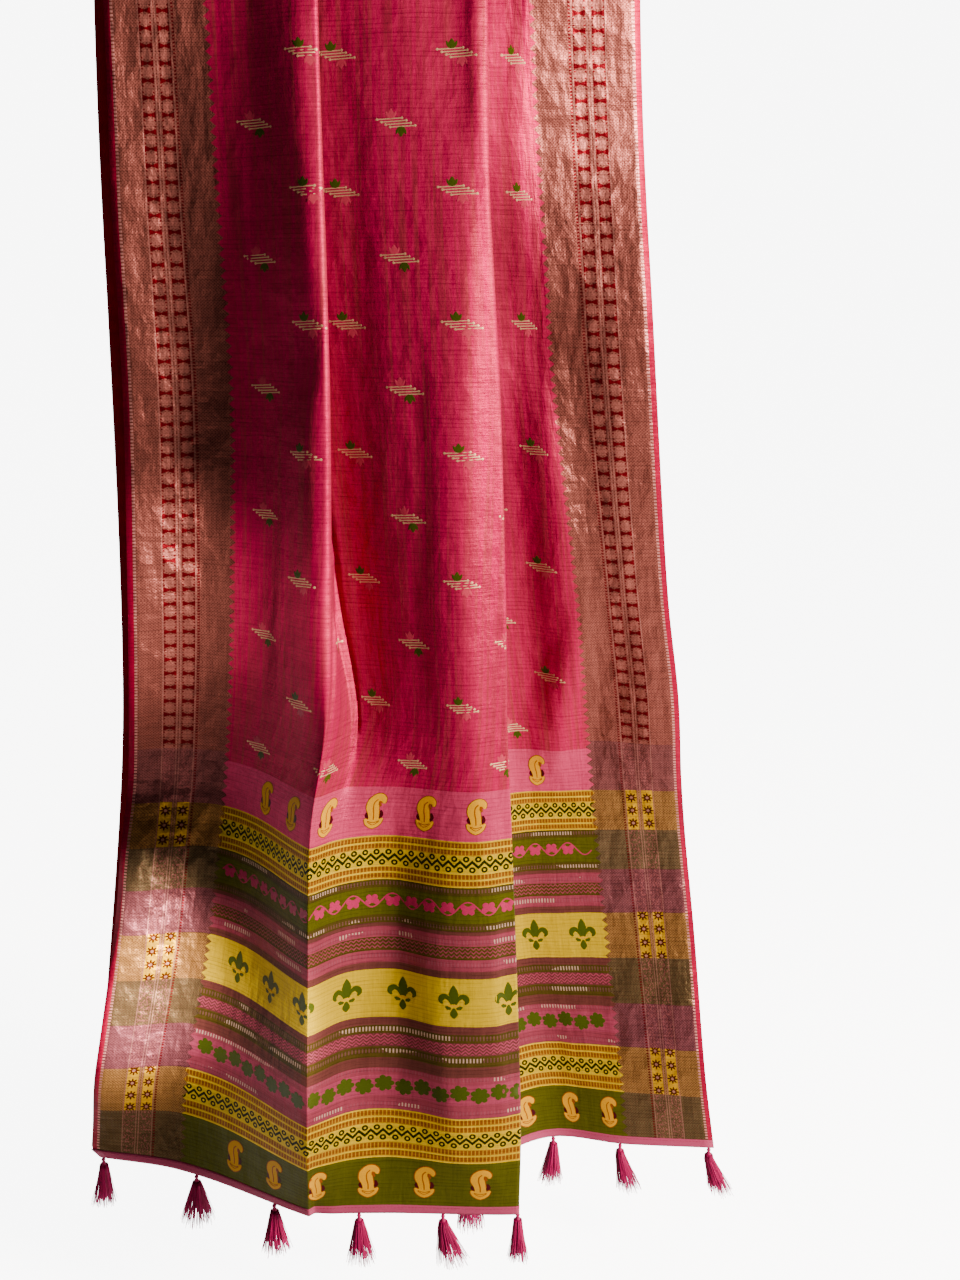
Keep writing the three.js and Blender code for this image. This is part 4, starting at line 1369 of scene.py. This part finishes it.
def stitch_tree(material):
    tree = bpy.data.node_groups.new("Row of stitches", "GeometryNodeTree")
    face = tree.interface
    face.new_socket(name="Geometry", in_out="INPUT", socket_type="NodeSocketGeometry")
    sizes = {}
    for name in ("Stitch pitch", "Stitch length", "Stitch thickness"):
        sizes[name] = face.new_socket(name=name, in_out="INPUT", socket_type="NodeSocketFloat").identifier
    face.new_socket(name="Geometry", in_out="OUTPUT", socket_type="NodeSocketGeometry")
    entry = add_node(tree, "NodeGroupInput")
    leave = add_node(tree, "NodeGroupOutput")
    curve = add_node(tree, "GeometryNodeMeshToCurve")
    spaced = add_node(tree, "GeometryNodeResampleCurve", mode="LENGTH")
    thread = add_node(tree, "GeometryNodeMeshUVSphere")
    feed_all(tree, thread, {"Segments": 6, "Rings": 5, "Radius": 0.5})
    size = add_node(tree, "ShaderNodeCombineXYZ")
    tangent = add_node(tree, "GeometryNodeInputTangent")
    turn = add_node(tree, "FunctionNodeAlignRotationToVector", axis="Z")
    place = add_node(tree, "GeometryNodeInstanceOnPoints")
    real = add_node(tree, "GeometryNodeRealizeInstances")
    paint = add_node(tree, "GeometryNodeSetMaterial")
    paint.inputs["Material"].default_value = material
    for source, leaving, target, entering in (
            (entry, "Geometry", curve, "Mesh"), (curve, "Curve", spaced, "Curve"),
            (entry, "Stitch pitch", spaced, "Length"), (spaced, "Curve", place, "Points"),
            (thread, "Mesh", place, "Instance"), (tangent, "Tangent", turn, "Vector"),
            (turn, "Rotation", place, "Rotation"), (entry, "Stitch thickness", size, "X"),
            (entry, "Stitch thickness", size, "Y"), (entry, "Stitch length", size, "Z"),
            (size, "Vector", place, "Scale"), (place, "Instances", real, "Geometry"),
            (real, "Geometry", paint, "Geometry"), (paint, "Geometry", leave, "Geometry")):
        tree.links.new(source.outputs[leaving], target.inputs[entering])
    return tree, sizes


def stitch_row(name, line, material):
    """A row of stitches along a line of points, turned into a plain mesh piece."""
    tree, sizes = stitch_tree(material)
    mesh = bpy.data.meshes.new(f"{name}_line")
    mesh.from_pydata((line * MM).tolist(), [(n, n + 1) for n in range(len(line) - 1)], [])
    guide = add_object(f"{name}_line", mesh)
    modifier = guide.modifiers.new("Row of stitches", "NODES")
    modifier.node_group = tree
    modifier[sizes["Stitch pitch"]] = STITCH_PITCH * MM
    modifier[sizes["Stitch length"]] = STITCH_LENGTH * MM
    modifier[sizes["Stitch thickness"]] = STITCH_THICKNESS * MM
    bpy.context.view_layer.update()
    evaluated = guide.evaluated_get(bpy.context.evaluated_depsgraph_get())
    piece = add_object(name, bpy.data.meshes.new_from_object(evaluated))
    bpy.data.objects.remove(guide)
    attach(piece, "root")
    return piece


hem_normals = surface_normals(hem_rows)
stitch_line = hem_rows[1] + hem_normals[1] * (HEM_THICKNESS / 2 + 0.1)
stitches = stitch_row("hem_stitches", stitch_line, magenta_thread)

# The rod keeps its own CAD node.
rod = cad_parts["rod"]
rod.data.materials.clear()
rod.data.materials.append(rod_wood())


# The studio: a pale floor and room, soft lights, and the photograph's camera.
PAPER_GLOW = 8.0
PAPER_LIGHT = 2.0
WARM_LIGHT = "#FFF0E0"
COOL_LIGHT = "#F2F4FF"


def add_plane(name, size, height, material):
    mesh = bpy.data.meshes.new(name)
    half = size / 2
    corners = [(-half, -half, height), (half, -half, height), (half, half, height), (-half, half, height)]
    mesh.from_pydata(corners, [], [(0, 1, 2, 3)])
    mesh.materials.append(material)
    plane = add_object(name, mesh)


def pale_paper():
    """Pale paper that stays near white in the picture, and lights the cloth only from behind."""
    material, tree, shader = new_material("pale studio paper")
    p = Pattern(tree)
    place = add_node(tree, "ShaderNodeTexCoord")
    split = add_node(tree, "ShaderNodeSeparateXYZ")
    tree.links.new(place.outputs["Object"], split.inputs[0])
    behind = p.times(p.plus(split.outputs[1], 0.2), 6.0)
    behind = p.smaller(p.larger(behind, 0.02), 1.0)
    seen = add_node(tree, "ShaderNodeLightPath")
    lit = p.times(behind, PAPER_LIGHT)
    glow = p.blend(seen.outputs["Is Camera Ray"], lit, PAPER_GLOW)
    feed_all(tree, shader, {"Emission Strength": glow, "Emission Color": "#FFFFFF",
                            "Base Color": "#F4F2F0", "Roughness": 0.9})
    return material


def add_light(name, kind, place, target, power, colour, **settings):
    """A light at its place, turned to its target."""
    data = bpy.data.lights.new(name, kind)
    data.energy = power
    data.color = to_linear(colour)[:3]
    for setting, value in settings.items():
        setattr(data, setting, value)
    light = add_object(name, data)
    light.location = place
    direction = np.asarray(target, float) - np.asarray(place, float)
    yaw = math.atan2(direction[1], direction[0])
    pitch = math.atan2(math.hypot(direction[0], direction[1]), -direction[2])
    light.rotation_euler = (pitch, 0, yaw - math.pi / 2)


def add_beam(name, place, target, width, power):
    """A soft narrow beam of the key light's colour, as wide as this at its target."""
    add_light(name, "SPOT", place, target, power, WARM_LIGHT, spot_blend=1.0, shadow_soft_size=0.05,
              spot_size=2 * math.atan(width / 2 / math.dist(place, target)))


add_plane("floor", 30, -2.05, pale_paper())
add_light("key", "AREA", (3.05, -1.65, -0.1), (0, 0, -0.9), 520, WARM_LIGHT, size=0.8)
add_light("fill", "AREA", (-2.4, -2.4, -0.4), (0, 0, -1.0), 1.5, COOL_LIGHT, size=2.4)
add_beam("left border beam", (1.2, -2.2, -1.3), (-0.43, 0, -1.55), 0.4, 5600)
add_beam("left border upper beam", (1.2, -2.2, -0.8), (-0.35, 0.05, -0.98), 0.4, 1100)
add_beam("right border beam", (2.2, -2.0, -0.2), (0.30, 0, -0.28), 0.34, 1200)

# The pale room is bright to the camera but lights the cloth only faintly.
ROOM_LIGHT = 0.03
world = bpy.data.worlds.new("pale room")
world.use_nodes = True
room_pattern = Pattern(world.node_tree)
seen = add_node(world.node_tree, "ShaderNodeLightPath")
room_shader = world.node_tree.nodes["Background"]
room_glow = room_pattern.blend(seen.outputs["Is Camera Ray"], ROOM_LIGHT, PAPER_GLOW)
feed_all(world.node_tree, room_shader, {"Color": "#FFFFFF", "Strength": room_glow})
bpy.context.scene.world = world

# The camera looks along +Y from in front of the cloth, pitched down.
CAMERA_PLACE = (0.142, -2.264, -0.360)
CAMERA_PITCH = math.radians(16.45)
FOCAL_PIXELS = 1700
IMAGE_HEIGHT = 1280
SENSOR = 36
camera_data = bpy.data.cameras.new("camera")
camera_data.sensor_width = SENSOR
camera_data.lens = FOCAL_PIXELS * SENSOR / IMAGE_HEIGHT
camera = add_object("camera", camera_data)
camera.location = CAMERA_PLACE
camera.rotation_euler = (math.pi / 2 - CAMERA_PITCH, 0, 0)
bpy.context.scene.camera = camera
